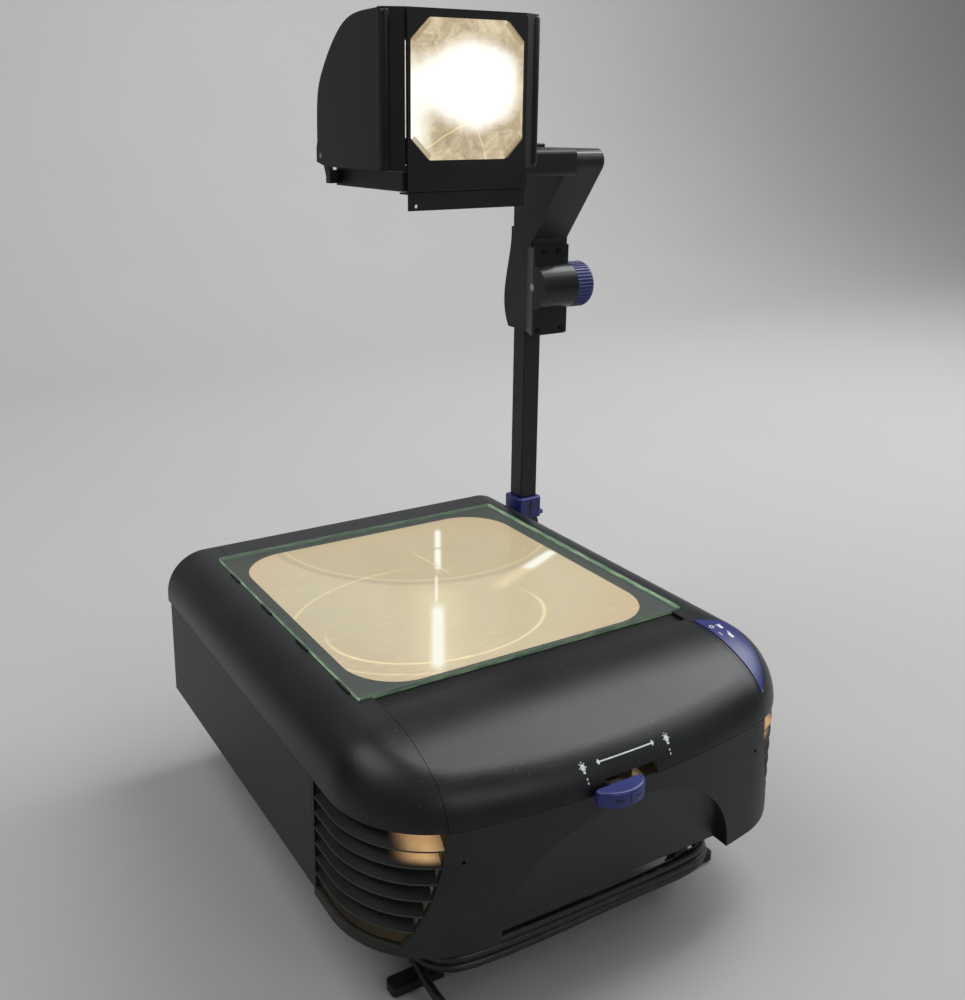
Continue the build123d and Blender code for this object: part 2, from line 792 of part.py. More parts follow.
with BuildPart() as power_rocker:
    add(crown_shell.part.moved(Location((0, 0, rocker_proud))))
    with BuildSketch(Plane.XY.offset(seam_height + 4 + rocker_drop)):
        add(rocker_leaf(panel_gap))
    extrude(amount=crown_height, mode=Mode.INTERSECT)
finish(power_rocker, "power_rocker")

switch_x = (rocker_inner_x + rocker_outer_x) / 2
switch_y = rocker_rear_y - 32.0
switch_top = crown_height - 13.0

with BuildPart() as power_switch:
    with Locations((switch_x, switch_y, switch_top - 11)):
        Box(14, 24, 22)
    with Locations((switch_x, switch_y, switch_top + 1.5)):
        Cylinder(3, 3)
    box_between(
        (switch_x - 7, switch_y - 12, tray_top), (switch_x + 7, switch_y + 12, switch_top - 22)
    )
    box_between(
        (switch_x - 4, switch_y - 9, tray_top + 4), (switch_x + 8, switch_y + 9, switch_top - 26),
        mode=Mode.SUBTRACT,
    )
finish(power_switch, "power_switch")

# ------------------------------------------------------------------ feet
pad_top = pad_thickness
tab_top = pad_top + tab_thickness
leg_inner = foot_x - leg_width / 2
leg_outer = foot_x + leg_width / 2


def foot(y):
    """The right-hand leg at y: a post under the tray with a cord tab that points outwards."""
    with BuildPart() as leg:
        box_between((leg_inner, y - leg_depth / 2, pad_top), (leg_outer, y + leg_depth / 2, tray_height))
        box_between((leg_inner, y - 7, pad_top), (tab_reach, y + 7, tab_top))
        box_between((leg_inner - 6, y - 12, tray_height - 4), (leg_outer + 6, y + 12, tray_height))
        fillet(leg.edges().filter_by(Axis.Z).group_by(Axis.X)[-1], 4)
    return leg.part


with BuildPart() as feet:
    add(foot(front_foot_y))
    add(foot(rear_foot_y))
    mirror(about=Plane.YZ)
finish(feet, "feet")

with BuildPart() as foot_pads:
    pad_x = (leg_inner + tab_reach) / 2
    for pad_y in (front_foot_y, rear_foot_y):
        with Locations((-pad_x, pad_y, pad_thickness / 2), (pad_x, pad_y, pad_thickness / 2)):
            Box(tab_reach - leg_inner - 6, 10, pad_thickness)
finish(foot_pads, "foot_pads")


bow_middle_y = corner_y + sqrt((bow_radius - corner_radius) ** 2 - (body_half_width - corner_radius) ** 2)
bezel_screw_y = bow_middle_y - sqrt(bow_radius**2 - bezel_screw_x**2)

with BuildPart() as casing_screws:
    add(screw_group(base_screw_radius, base_screw_length, 3.6, 2.0, base_screw_planes))
    add(
        screw_group(
            bezel_screw_radius, 7.0, bezel_screw_radius, 0.4,
            [
                Plane(origin=(side * bezel_screw_x, bezel_screw_y + 1.6, bezel_screw_z), z_dir=(0, -1, 0))
                for side in (-1, 1)
            ],
        )
    )
finish(casing_screws, "casing_screws")

# ------------------------------------------------------------------ mast
mast_half = mast_size / 2
mast_inside = mast_half - mast_wall
swing_radius = mast_half
cheek_inner = mast_x - mast_half - 0.4
cheek_outer = mast_x + mast_half + 0.4
bracket_far = cheek_outer + cheek_thickness
swing_clear = 0.6
bracket_back = mast_y + mast_half + swing_clear
bracket_rear = bracket_back + 4.0


def pivot_plane(x):
    """A plane square to X with its origin on the mast's pivot axis."""
    return Plane(origin=(x, mast_y, pivot_height), x_dir=(0, 1, 0), z_dir=(1, 0, 0))


with BuildPart() as mast_bracket:
    cheek_drop = pivot_height - bracket_bottom
    rear_offset = bracket_rear - mast_y
    cheek_middle = (rear_offset - cheek_radius) / 2
    for x, thickness in ((body_half_width, cheek_inner - body_half_width), (cheek_outer, cheek_thickness)):
        with BuildSketch(pivot_plane(x)):
            Circle(cheek_radius)
            with Locations((cheek_middle, -cheek_drop / 2)):
                Rectangle(rear_offset + cheek_radius, cheek_drop)
        extrude(amount=thickness)
    box_between(
        (cheek_inner - 0.1, bracket_back, bracket_bottom),
        (cheek_outer + 0.1, bracket_rear, pivot_height),
    )
    box_between(
        (cheek_inner - 0.1, mast_y - cheek_radius, bracket_bottom),
        (cheek_outer + 0.1, bracket_rear, pivot_height - swing_radius - 2),
    )
    with BuildSketch(pivot_plane(body_half_width)):
        Circle(pivot_radius)
    extrude(amount=bracket_far - body_half_width, mode=Mode.SUBTRACT)
    fillet(mast_bracket.edges().filter_by(Axis.Y).group_by(Axis.Z)[0].group_by(Axis.X)[-1], 6)
finish(mast_bracket, "mast_bracket")

with BuildPart() as mast_pivot_pin:
    with BuildSketch(pivot_plane(body_half_width + 0.5)):
        Circle(pivot_radius)
    extrude(amount=bracket_far - body_half_width - 0.5)
    with BuildSketch(pivot_plane(bracket_far)):
        Circle(pivot_radius + 2.5)
    extrude(amount=1.8)
    chamfer(mast_pivot_pin.edges().group_by(Axis.X)[-1], 0.5)
finish(mast_pivot_pin, "mast_pivot_pin")


def mast_bar(half, low):
    """A square bar along the mast's axis whose lower end is round about the pivot."""
    with BuildPart() as bar:
        with BuildSketch(pivot_plane(mast_x - half)):
            Circle(low)
            with Locations((0, (mast_top - pivot_height) / 2)):
                Rectangle(2 * half, mast_top - pivot_height)
        extrude(amount=2 * half)
    return bar.part


with BuildPart() as mast_tube:
    add(mast_bar(mast_half, swing_radius))
    fillet(mast_tube.edges().filter_by(Axis.Z), 1.2)
    with BuildSketch(Plane.XY.offset(pivot_height - 2 * swing_radius)):
        with Locations((mast_x, mast_y)):
            Rectangle(2 * mast_inside, 2 * mast_inside)
    extrude(amount=mast_top, mode=Mode.SUBTRACT)
    # solid foot inside the tube's round end
    with BuildSketch(pivot_plane(mast_x - mast_inside)):
        Circle(mast_inside)
        with Locations((0, (mast_foot_length - mast_half) / 2)):
            Rectangle(2 * mast_inside, mast_foot_length - mast_half)
    extrude(amount=2 * mast_inside)
    with BuildSketch(pivot_plane(mast_x - mast_half)):
        Circle(pivot_radius + running_gap)
    extrude(amount=mast_size, mode=Mode.SUBTRACT)
finish(mast_tube, "mast_tube")

with BuildPart() as mast_cap:
    with BuildSketch(Plane.XY.offset(mast_top)):
        with Locations((mast_x, mast_y)):
            RectangleRounded(mast_size, mast_size, 1.2)
    extrude(amount=mast_cap_height)
    chamfer(mast_cap.edges().group_by(Axis.Z)[-1], 1.0)
    with BuildSketch(Plane.XY.offset(mast_top)):
        with Locations((mast_x, mast_y)):
            Rectangle(2 * mast_inside - 0.1, 2 * mast_inside - 0.1)
    extrude(amount=-12)
finish(mast_cap, "mast_cap")

collar_half = mast_half + 0.2 + collar_wall
collar_bottom = pivot_height + cheek_radius + 0.6

with BuildPart() as lock_collar:
    with BuildSketch(Plane.XY.offset(collar_bottom)):
        with Locations((mast_x, mast_y)):
            RectangleRounded(2 * collar_half, 2 * collar_half, 3)
            Rectangle(mast_size + 0.4, mast_size + 0.4, mode=Mode.SUBTRACT)
    extrude(amount=collar_height)
    chamfer(lock_collar.faces().sort_by(Axis.Z)[-1].outer_wire().edges(), 1.2)
    with BuildSketch(Plane.XY.offset(collar_bottom)):
        with Locations((mast_x + collar_half + collar_tab / 2 - 1, mast_y)):
            RectangleRounded(collar_tab + 2, 18, 4.5)
    extrude(amount=3)
finish(lock_collar, "lock_collar")

# ------------------------------------------------------------------ arm
arm_outer_x = mast_x + mast_half + bush_wall + housing_wall - 1.4
flank_x = mast_x - mast_half - bush_wall - housing_wall + 1.75
bush_half = mast_half + running_gap + bush_wall
idler_radius = (mast_y - mast_half - 0.1 - drive_y - drive_radius) / 2
idler_y = mast_y - mast_half - 0.1 - idler_radius
arm_back = mast_y - mast_half - 0.6
leg_low_y = housing_front + 4.5
bar_low = arm_top - bar_height


cover_low = housing_low + 1.5
cover_high = housing_high - 1.0
cover_back = housing_front - 0.1
arm_middle_x = (arm_inner_x + arm_outer_x) / 2
cover_screw_planes = [
    Plane(origin=(arm_middle_x + x, cover_back - cover_plate, z), z_dir=(0, -1, 0))
    for x, z in ((-9, cover_high - 7), (9, cover_high - 7), (-15, cover_low + 5), (15, cover_low + 5))
]


def arm_plane(x):
    """A plane square to X, with Y and Z as its own axes."""
    return Plane.YZ.offset(x)


with BuildPart() as arm_casting:
    # housing round the mast
    with BuildSketch(Plane.XY.offset(housing_low)):
        with BuildLine():
            Polyline(
                (flank_x, housing_rear), (flank_x, 150), (arm_inner_x, housing_front),
                (arm_outer_x, housing_front), (arm_outer_x, housing_rear), (flank_x, housing_rear),
            )
        make_face()
    extrude(amount=housing_high - housing_low + 14)
    with BuildSketch(Plane.YZ):
        with BuildLine():
            low_rear = (bracket_rear, housing_low)
            high_rear = (mast_y + mast_half + 2, housing_high + 14)
            Spline(low_rear, (housing_rear, housing_low + 26), (housing_rear - 4, housing_low + 60), high_rear)
            Polyline(high_rear, (50, housing_high + 14), (50, housing_low), low_rear)
        make_face()
    extrude(amount=300, mode=Mode.INTERSECT)
    # leaning leg and web in front of the mast
    with BuildSketch(arm_plane(arm_inner_x)) as web:
        with BuildLine():
            rise = arm_top - housing_high
            nose_y = leg_low_y - rise * leg_lean
            Polyline(
                (housing_front, housing_high - 3), (leg_low_y, housing_high), (nose_y, arm_top),
                (arm_back, arm_top), (arm_back, housing_high - 3), (housing_front, housing_high - 3),
            )
        make_face()
        fillet(web.vertices().sort_by(Axis.X)[0], nose_radius)
    extrude(amount=arm_outer_x - arm_inner_x)
    # bar across to the head
    with BuildSketch(arm_plane(bar_end)):
        with Locations(((bar_front + bar_rear) / 2, arm_top - bar_height / 2)):
            RectangleRounded(bar_rear - bar_front, bar_height, 5)
    extrude(amount=arm_inner_x - bar_end + 5)
    # hollow of the web, open at the outer side, leaving a rim
    with BuildSketch(arm_plane(arm_outer_x)):
        with BuildLine():
            rim_lean = arm_wall * 1.3
            low_z = housing_high + 16
            Polyline(
                (leg_low_y - (low_z - housing_high) * leg_lean + rim_lean, low_z),
                (nose_y + rim_lean + arm_wall * leg_lean + 8, arm_top - arm_wall),
                (arm_back - arm_wall, arm_top - arm_wall), (arm_back - arm_wall, low_z),
                (leg_low_y - (low_z - housing_high) * leg_lean + rim_lean, low_z),
            )
        make_face()
    extrude(amount=-(arm_outer_x - arm_inner_x - arm_wall), mode=Mode.SUBTRACT)
    # passage for the mast, with room above for its full height
    with BuildSketch(Plane.XY.offset(housing_low - 1)):
        with Locations((mast_x, mast_y)):
            Rectangle(2 * bush_half, 2 * bush_half)
    extrude(amount=housing_high - housing_low + 40, mode=Mode.SUBTRACT)
    # pocket for the roller and the idler, and the shaft's half bearing
    box_between(
        (mast_x - drive_width / 2 - 1, housing_front - 1, drive_height - idler_radius - 1.5),
        (mast_x + drive_width / 2 + 1, mast_y, drive_height + idler_radius + 1.5),
        mode=Mode.SUBTRACT,
    )
    with Locations((mast_x, drive_y, drive_height)):
        Cylinder(shaft_radius + running_gap, 80, rotation=(0, 90, 0), mode=Mode.SUBTRACT)
    with Locations((mast_x, idler_y, drive_height)):
        Cylinder(axle_radius, drive_width + 4, rotation=(0, 90, 0))
    add(screw_holes(cover_screw_radius, cover_screw_length, cover_screw_planes), mode=Mode.SUBTRACT)
finish(arm_casting, "arm_casting")

with BuildPart() as slide_bushes:
    for bush_low in (housing_low + 3, housing_high - bush_length - 3):
        with BuildSketch(Plane.XY.offset(bush_low)):
            with Locations((mast_x, mast_y)):
                Rectangle(2 * bush_half, 2 * bush_half)
                Rectangle(mast_size + 2 * running_gap, mast_size + 2 * running_gap, mode=Mode.SUBTRACT)
        extrude(amount=bush_length)
finish(slide_bushes, "slide_bushes")

with BuildPart() as drive_cover:
    with BuildSketch(arm_plane(arm_inner_x)) as cover_profile:
        with Locations((cover_back - cover_plate / 2, (cover_low + cover_high) / 2)):
            Rectangle(cover_plate, cover_high - cover_low)
        with Locations((drive_y, drive_height)):
            Circle(bulge_radius)
        with Locations((cover_back + 50, drive_height)):
            Rectangle(100, 200, mode=Mode.SUBTRACT)
    extrude(amount=arm_outer_x - arm_inner_x)
    with BuildSketch(arm_plane(arm_inner_x + cover_plate)):
        with Locations((drive_y, drive_height)):
            Circle(bulge_radius - cover_plate)
    extrude(amount=arm_outer_x - arm_inner_x - 2 * cover_plate, mode=Mode.SUBTRACT)
    add(screw_holes(cover_screw_radius, cover_screw_length, cover_screw_planes), mode=Mode.SUBTRACT)
    with Locations((mast_x, drive_y, drive_height)):
        Cylinder(shaft_radius + running_gap, 80, rotation=(0, 90, 0), mode=Mode.SUBTRACT)
finish(drive_cover, "drive_cover")

with BuildPart() as drive_cover_screws:
    add(screw_group(cover_screw_radius, cover_screw_length, 3.0, 1.2, cover_screw_planes))
finish(drive_cover_screws, "drive_cover_screws")

knob_start = arm_outer_x + 0.6
knob_end = knob_start + knob_length

with BuildPart() as knob_shaft:
    shaft_low = arm_inner_x + 1.0
    with Locations(((shaft_low + knob_end - 6) / 2, drive_y, drive_height)):
        Cylinder(shaft_radius, knob_end - 6 - shaft_low, rotation=(0, 90, 0))
    with Locations((mast_x, drive_y, drive_height)):
        Cylinder(drive_radius - 0.05, drive_width, rotation=(0, 90, 0))
finish(knob_shaft, "knob_shaft")

with BuildPart() as idler_wheel:
    with Locations((mast_x, idler_y, drive_height)):
        Cylinder(idler_radius - 0.05, drive_width, rotation=(0, 90, 0))
        Cylinder(axle_radius + running_gap, drive_width, rotation=(0, 90, 0), mode=Mode.SUBTRACT)
finish(idler_wheel, "idler_wheel")

with BuildPart() as focus_knob:
    with Locations((knob_start + knob_length / 2, drive_y, drive_height)):
        Cylinder(knob_radius - 1, knob_length, rotation=(0, 90, 0))
    fillet(focus_knob.edges().group_by(Axis.X)[-1], 2.5)
    for rib in range(rib_count):
        turn = radians(360 / rib_count * rib)
        reach = knob_radius - 1
        rib_at = (
            knob_start + (knob_length - 3) / 2,
            drive_y + reach * cos(turn),
            drive_height + reach * sin(turn),
        )
        with Locations(rib_at):
            Cylinder(1.0, knob_length - 3, rotation=(0, 90, 0))
    with Locations((knob_start + (knob_length - 6) / 2, drive_y, drive_height)):
        Cylinder(shaft_radius, knob_length - 6, rotation=(0, 90, 0), mode=Mode.SUBTRACT)
finish(focus_knob, "focus_knob")

# ------------------------------------------------------------------ head
frame_half = 58.6
frame_back = 73.7
frame_wall = 2.6
pin_radius = 2.0
lug_radius = 5.0
lug_thickness = 4.0
lug_outer = head_half_width - hood_wall - 1.0
lens_y = 15.0
lens_edge = 4.0
lens_sag = 4.0

with BuildPart() as lens_frame:
    box_between((-frame_half, head_front, frame_low), (frame_half, frame_back, frame_high))
    box_between(
        (-frame_half + frame_wall, head_front + frame_wall, frame_low + frame_wall),
        (frame_half - frame_wall, frame_back - frame_wall, frame_high + 1),
        mode=Mode.SUBTRACT,
    )
    with BuildSketch(Plane.XY.offset(frame_low + frame_wall)):
        with Locations((0, lens_y)):
            Circle(lens_radius + 3)
    extrude(amount=5.0)
    with BuildSketch(Plane.XY.offset(frame_low)):
        with Locations((0, lens_y)):
            Circle(lens_radius - 2)
    extrude(amount=20, mode=Mode.SUBTRACT)
    with BuildSketch(Plane.XY.offset(frame_low + frame_wall)):
        with Locations((0, lens_y)):
            Circle(lens_radius + 0.2)
    extrude(amount=20, mode=Mode.SUBTRACT)
    # lugs that carry the hood, and the arm that meets the bar
    for lug_x in (-lug_outer, lug_outer - lug_thickness):
        with BuildSketch(Plane.YZ.offset(lug_x)):
            with Locations((hood_pivot_y, hood_pivot_z)):
                Circle(lug_radius)
            lug_low = frame_back - 8
            with BuildLine():
                Polyline(
                    (lug_low, frame_low + 3), (frame_back, frame_low + 3),
                    (hood_pivot_y + lug_radius, hood_pivot_z), (hood_pivot_y - lug_radius, hood_pivot_z),
                    (lug_low, frame_low + 3),
                )
            make_face()
        extrude(amount=lug_thickness)
    for side in (-1, 1):
        with Locations((side * (frame_half + lug_outer) / 2, frame_back - 4, (frame_low + frame_high) / 2)):
            Box(lug_outer - frame_half + 2, 8, frame_high - frame_low - 4)
    box_between((frame_half - 1, bar_front + 1, arm_low_z), (bar_end, frame_back - 1, frame_high - 2))
    with Locations((0, hood_pivot_y, hood_pivot_z)):
        Cylinder(pin_radius + running_gap, 300, rotation=(0, 90, 0), mode=Mode.SUBTRACT)
finish(lens_frame, "lens_frame")

with BuildPart() as objective_lens:
    lens_low = frame_low + frame_wall
    with BuildSketch(Plane.XZ.offset(-lens_y)):
        with BuildLine():
            Polyline((0, lens_low), (lens_radius, lens_low), (lens_radius, lens_low + lens_edge))
            ThreePointArc(
                (lens_radius, lens_low + lens_edge),
                (lens_radius / 2, lens_low + lens_edge + dome_height(lens_radius, lens_sag, lens_radius / 2)),
                (0, lens_low + lens_edge + lens_sag),
            )
            Line((0, lens_low + lens_edge + lens_sag), (0, lens_low))
        make_face()
    revolve(axis=Axis((0, lens_y, 0), (0, 0, 1)))
finish(objective_lens, "objective_lens")

window_frame_low = frame_low - 0.5
window_frame_high = 707.5
flap_depth = 14.0

with BuildPart() as glare_flap:
    flap_front = head_front - 2.6
    box_between(
        (-window_frame_half + 1, flap_front, window_frame_low - flap_depth - 0.5),
        (window_frame_half, flap_front + 1.6, window_frame_low - 0.5),
    )
    box_between(
        (-window_frame_half + 1, flap_front, window_frame_low - 2.0),
        (window_frame_half, head_front + 12, window_frame_low - 0.5),
    )
    box_between(
        (-window_frame_half + 8, head_front + 1, window_frame_low - 0.6),
        (window_frame_half - 8, head_front + 11, frame_low),
    )
    with Locations(
        Plane.XZ.offset(300).shift_origin((-window_frame_half + 8, -300, window_frame_low - 11))
    ):
        Hole(1.6, depth=400)
finish(glare_flap, "glare_flap")


def hood_outline(inset):
    """Side view of the hood: upright front, rounded top and sloping back."""
    with BuildSketch() as profile:
        with BuildLine():
            back = hood_pivot_y + 8 - inset
            Polyline((-60, hood_low), (-60, hood_top - inset), (-20, hood_top - inset))
            Spline(
                (-20, hood_top - inset), (34, hood_top - 8 - inset), (72 - 0.7 * inset, 668 - 0.7 * inset),
                (back - 2, 610), tangents=((1, 0), (0, -1)),
            )
            Polyline((back - 2, 610), (back, 604), (back, 592.5), (69, hood_low), (-60, hood_low))
        make_face()
    return profile.sketch


def hood_plan(inset):
    """The hood seen from above: straight cheeks with slanted wings in front."""
    half = head_half_width - inset
    with BuildSketch() as plan:
        with BuildLine():
            Polyline(
                (-half, 100), (-half, wing_back_y), (-window_frame_half, head_front + inset),
                (window_frame_half, head_front + inset), (half, wing_back_y), (half, 100), (-half, 100),
            )
        make_face()
    return plan.sketch


def hood_block(inset):
    """The hood as a full solid, its skin drawn in by inset, open below."""
    with BuildPart() as block:
        with BuildSketch(Plane.XY.offset(hood_low - (1 if inset else 0))):
            add(hood_plan(inset))
        extrude(amount=160)
        with BuildSketch(Plane.YZ):
            add(hood_outline(inset))
        extrude(amount=100, both=True, mode=Mode.INTERSECT)
    return block.part


with BuildPart() as hood:
    add(hood_block(0))
    for side in (-1, 1):
        with Locations((side * (head_half_width - 1.5), wing_back_y + 4, (hood_low + hood_top) / 2)):
            Cylinder(4.0, hood_top - hood_low)
    add(hood_block(hood_wall), mode=Mode.SUBTRACT)
    box_between(
        (-window_frame_half - 0.4, -100, hood_low - 1),
        (window_frame_half + 0.4, head_front + 10, window_frame_high + 0.4),
        mode=Mode.SUBTRACT,
    )
    with Locations((0, hood_pivot_y, hood_pivot_z)):
        Cylinder(pin_radius, 300, rotation=(0, 90, 0), mode=Mode.SUBTRACT)
    for lug_x in (-lug_outer, lug_outer - lug_thickness):
        box_between(
            (lug_x - fit_gap, hood_pivot_y - 14, hood_low - 1),
            (lug_x + lug_thickness + fit_gap, hood_pivot_y + 5.6, hood_pivot_z),
            mode=Mode.SUBTRACT,
        )
finish(hood, "hood")

with BuildPart() as hood_pins:
    pin_length = head_half_width - lug_outer + lug_thickness
    pin_middle = head_half_width - pin_length / 2
    with Locations((-pin_middle, hood_pivot_y, hood_pivot_z), (pin_middle, hood_pivot_y, hood_pivot_z)):
        Cylinder(pin_radius, pin_length, rotation=(0, 90, 0))
finish(hood_pins, "hood_pins")

mirror_reach = 124.0
mirror_half = 62.0
mirror_y = 19.0
mirror_z = 650.0

with BuildPart() as head_mirror:
    mirror_plane = Plane(origin=(0, mirror_y, mirror_z), x_dir=(1, 0, 0), z_dir=(0, 1, 1))
    with BuildSketch(mirror_plane):
        Rectangle(2 * mirror_half, mirror_reach)
    extrude(amount=mirror_thickness)
finish(head_mirror, "head_mirror")


def window_outline(grow):
    """Front view of the window: a rectangle with its four corners cut."""
    half = window_half_width + grow
    low = window_low - grow
    high = window_high + grow
    cut = window_cut + 0.6 * grow
    with BuildSketch() as outline:
        with BuildLine():
            Polyline(
                (-half, low + cut), (-half, high - cut), (-half + cut, high), (half - cut, high),
                (half, high - cut), (half, low + cut), (half - cut, low), (-half + cut, low),
                (-half, low + cut),
            )
        make_face()
    return outline.sketch


frame_front = head_front - 3.2
frame_seat = head_front - 0.4
glass_seat = head_front - 1.6

with BuildPart() as window_frame:
    box_between(
        (-window_frame_half, frame_front, window_frame_low),
        (window_frame_half, frame_seat, window_frame_high),
    )
    with BuildSketch(Plane.XZ.offset(-frame_seat - 1)):
        add(window_outline(0))
    extrude(amount=20, mode=Mode.SUBTRACT)
    with BuildSketch(Plane.XZ.offset(-frame_seat)):
        add(window_outline(1.0))
    extrude(amount=frame_seat - glass_seat, mode=Mode.SUBTRACT)
    fillet(window_frame.edges().filter_by(Axis.Y).group_by(Axis.Z)[-1], 3)
finish(window_frame, "window_frame")

with BuildPart() as window_glass:
    with BuildSketch(Plane.XZ.offset(-frame_seat)):
        add(window_outline(0.9))
    extrude(amount=frame_seat - glass_seat)
finish(window_glass, "window_glass")

with BuildPart() as window_clips:
    clip_x = 24.0
    for x in (-clip_x, clip_x):
        box_between((x - 4, frame_seat, window_high - 4), (x + 4, frame_seat + 1.2, window_high + 4))
        box_between((x - 4, frame_seat, window_low - 4), (x + 4, frame_seat + 1.2, window_low + 4))
finish(window_clips, "window_clips")

# ------------------------------------------------------------------ cord
cord_radius = cord_diameter / 2
gland_x = 70.0
gland_y = -72.0
gland_z = 62.0
gland_length = 28.0

with BuildPart() as cord_gland:
    box_between((gland_x - 10, gland_y, gland_z - 10), (gland_x + 10, gland_y + 14, tray_height))
    with BuildSketch(Plane.XZ.offset(-gland_y)):
        with Locations((gland_x, gland_z)):
            Circle(7.0)
    with BuildSketch(Plane.XZ.offset(-gland_y + gland_length)):
        with Locations((gland_x, gland_z)):
            Circle(cord_radius + 1.0)
    loft()
finish(cord_gland, "cord_gland")

winding_centre_x = 106.0
winding_inner = 24.5
winding_outer = 35.5
winding_low = 15.0
winding_high = 47.0

with BuildPart() as cord_winding:
    with BuildSketch(Plane.XY.offset(winding_low)):
        with Locations((0, front_foot_y)):
            SlotCenterToCenter(2 * winding_centre_x, 2 * winding_outer)
            SlotCenterToCenter(2 * winding_centre_x, 2 * winding_inner, mode=Mode.SUBTRACT)
    extrude(amount=winding_high - winding_low)
    fillet(cord_winding.edges().group_by(Axis.Z)[0], cord_radius - 0.5)
    fillet(cord_winding.edges().group_by(Axis.Z)[-1], cord_radius - 0.5)
finish(cord_winding, "cord_winding")

lead_route = [
    (70, -100, 62), (68, -125, 58), (56, -148, 47), (33, -162, 36), (5, -169, 31),
]
tail_route = [
    (-136, -199, 22), (-137, -223, 15), (-131, -249, 7), (-119, -275, 3.7), (-110, -304, 3.8),
    (-112, -334, 3.7), (-123, -361, 6.5), (-137, -385, 11),
]


def corner_radii(route):
    """Largest tangent arcs that the two runs at each point of a cord's route allow."""
    radii = []
    for before, point, after in zip(route, route[1:], route[2:]):
        run_in = Vector(*point) - Vector(*before)
        run_out = Vector(*after) - Vector(*point)
        turn = radians(run_in.get_angle(run_out))
        radii.append(0.45 * min(run_in.length, run_out.length) / tan(turn / 2))
    return radii


def cord_tube(name, route):
    """A plain tube along a route of straight runs joined by tangent arcs."""
    radii = corner_radii(route)
    print(name, "radii", [round(radius, 1) for radius in radii])
    with BuildPart() as tube:
        with BuildLine():
            path = FilletPolyline(*route, radius=radii)
        with BuildSketch(Plane(origin=path @ 0, z_dir=path % 0)):
            Circle(cord_radius)
        sweep(path=path)
    length = path.length
    print(name, "length", round(length, 1), "volume ratio", tube.part.volume / (pi * cord_radius**2 * length))
    finish(tube, name)


cord_tube("cord_lead", lead_route)
cord_tube("cord_tail", tail_route)

plug_length = 44.0
last_run = Vector(*tail_route[-1]) - Vector(*tail_route[-2])
plug_heading = Vector(last_run.X, last_run.Y, 0).normalized()
plug_start = Vector(*tail_route[-1])

with BuildPart() as plug:
    body_plane = Plane(origin=plug_start, x_dir=Vector(0, 0, 1), z_dir=plug_heading)
    with BuildSketch(body_plane):
        Circle(cord_radius + 1.2)
    with BuildSketch(body_plane.offset(14)):
        RectangleRounded(18, 24, 5)
    loft()
    with BuildSketch(body_plane.offset(14)):
        RectangleRounded(18, 24, 5)
    extrude(amount=plug_length - 14)
    with BuildSketch(body_plane.offset(plug_length)):
        with Locations((0, -9.5), (0, 9.5)):
            Circle(2.3)
    extrude(amount=18)
finish(plug, "plug")

# ------------------------------------------------------------------ export
cord_names = ("cord_lead", "cord_tail", "cord_winding", "plug")
stationary = Compound([piece for piece in pieces if piece.label not in cord_names])
box = stationary.bounding_box()
origin = Vector((box.min.X + box.max.X) / 2, (box.min.Y + box.max.Y) / 2, 0)
print("origin, from the stage's centre:", round(origin.X, 3), round(origin.Y, 3))
for piece in pieces:
    label = piece.label
    moved = piece.moved(Location((-origin.X, -origin.Y, 0)))
    moved.label = label
    export_step(moved, "parts/" + label + ".step")
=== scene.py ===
"""Overhead projector: the finishes, the mains lead and the fine pieces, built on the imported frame."""
from math import cos, pi, radians, sin

import bpy
from bpy.props import FloatProperty, FloatVectorProperty, IntProperty, PointerProperty
from bpy.types import Operator, Panel, PropertyGroup
from mathutils import Matrix, Vector


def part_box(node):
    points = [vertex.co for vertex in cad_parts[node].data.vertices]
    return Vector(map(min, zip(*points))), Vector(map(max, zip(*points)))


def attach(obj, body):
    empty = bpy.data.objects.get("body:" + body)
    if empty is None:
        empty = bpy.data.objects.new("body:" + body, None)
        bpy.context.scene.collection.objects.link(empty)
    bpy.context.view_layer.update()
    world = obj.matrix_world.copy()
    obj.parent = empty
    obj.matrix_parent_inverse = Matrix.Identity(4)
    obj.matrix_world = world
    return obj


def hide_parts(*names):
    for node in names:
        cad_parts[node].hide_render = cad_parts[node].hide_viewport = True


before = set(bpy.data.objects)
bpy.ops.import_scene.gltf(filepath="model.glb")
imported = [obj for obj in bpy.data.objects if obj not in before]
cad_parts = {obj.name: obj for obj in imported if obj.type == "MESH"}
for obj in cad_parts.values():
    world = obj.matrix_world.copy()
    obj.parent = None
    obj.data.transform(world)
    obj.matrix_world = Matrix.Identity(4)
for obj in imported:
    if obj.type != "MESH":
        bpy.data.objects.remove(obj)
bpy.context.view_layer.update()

bl_info = {
    "name": "Overhead Projector",
    "version": (1, 0, 0),
    "blender": (4, 5, 0),
    "location": "View3D > Sidebar > Projector",
    "description": "Builds the finishes and fine pieces of an overhead projector on its frame",
    "category": "Object",
}

GLASS_LOW, GLASS_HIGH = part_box("stage_glass")
STAGE = Vector(((GLASS_LOW.x + GLASS_HIGH.x) / 2, (GLASS_LOW.y + GLASS_HIGH.y) / 2, 0))

# The camera, in metres from the middle of the stage at floor level, with its angles in degrees.
CAMERA_SPOT = (-0.4684, -0.7878, 0.6242)
CAMERA_TURN = -29.06
CAMERA_DROP = 14.04
CAMERA_ROLL = -0.21

# Where flat marks start before they are laid onto their pieces, in the same measure.
AHEAD_OF_COVER = -0.300
ABOVE_ROCKER = 0.225
SLIDER_X = -0.0165
SLIDER_MARK_Z = 0.1722
COLLAR_X = 0.214
BEAD_Y = -0.036

WINDING_REACH = 0.0355  # from the turning point at each end of the winding to its outer face

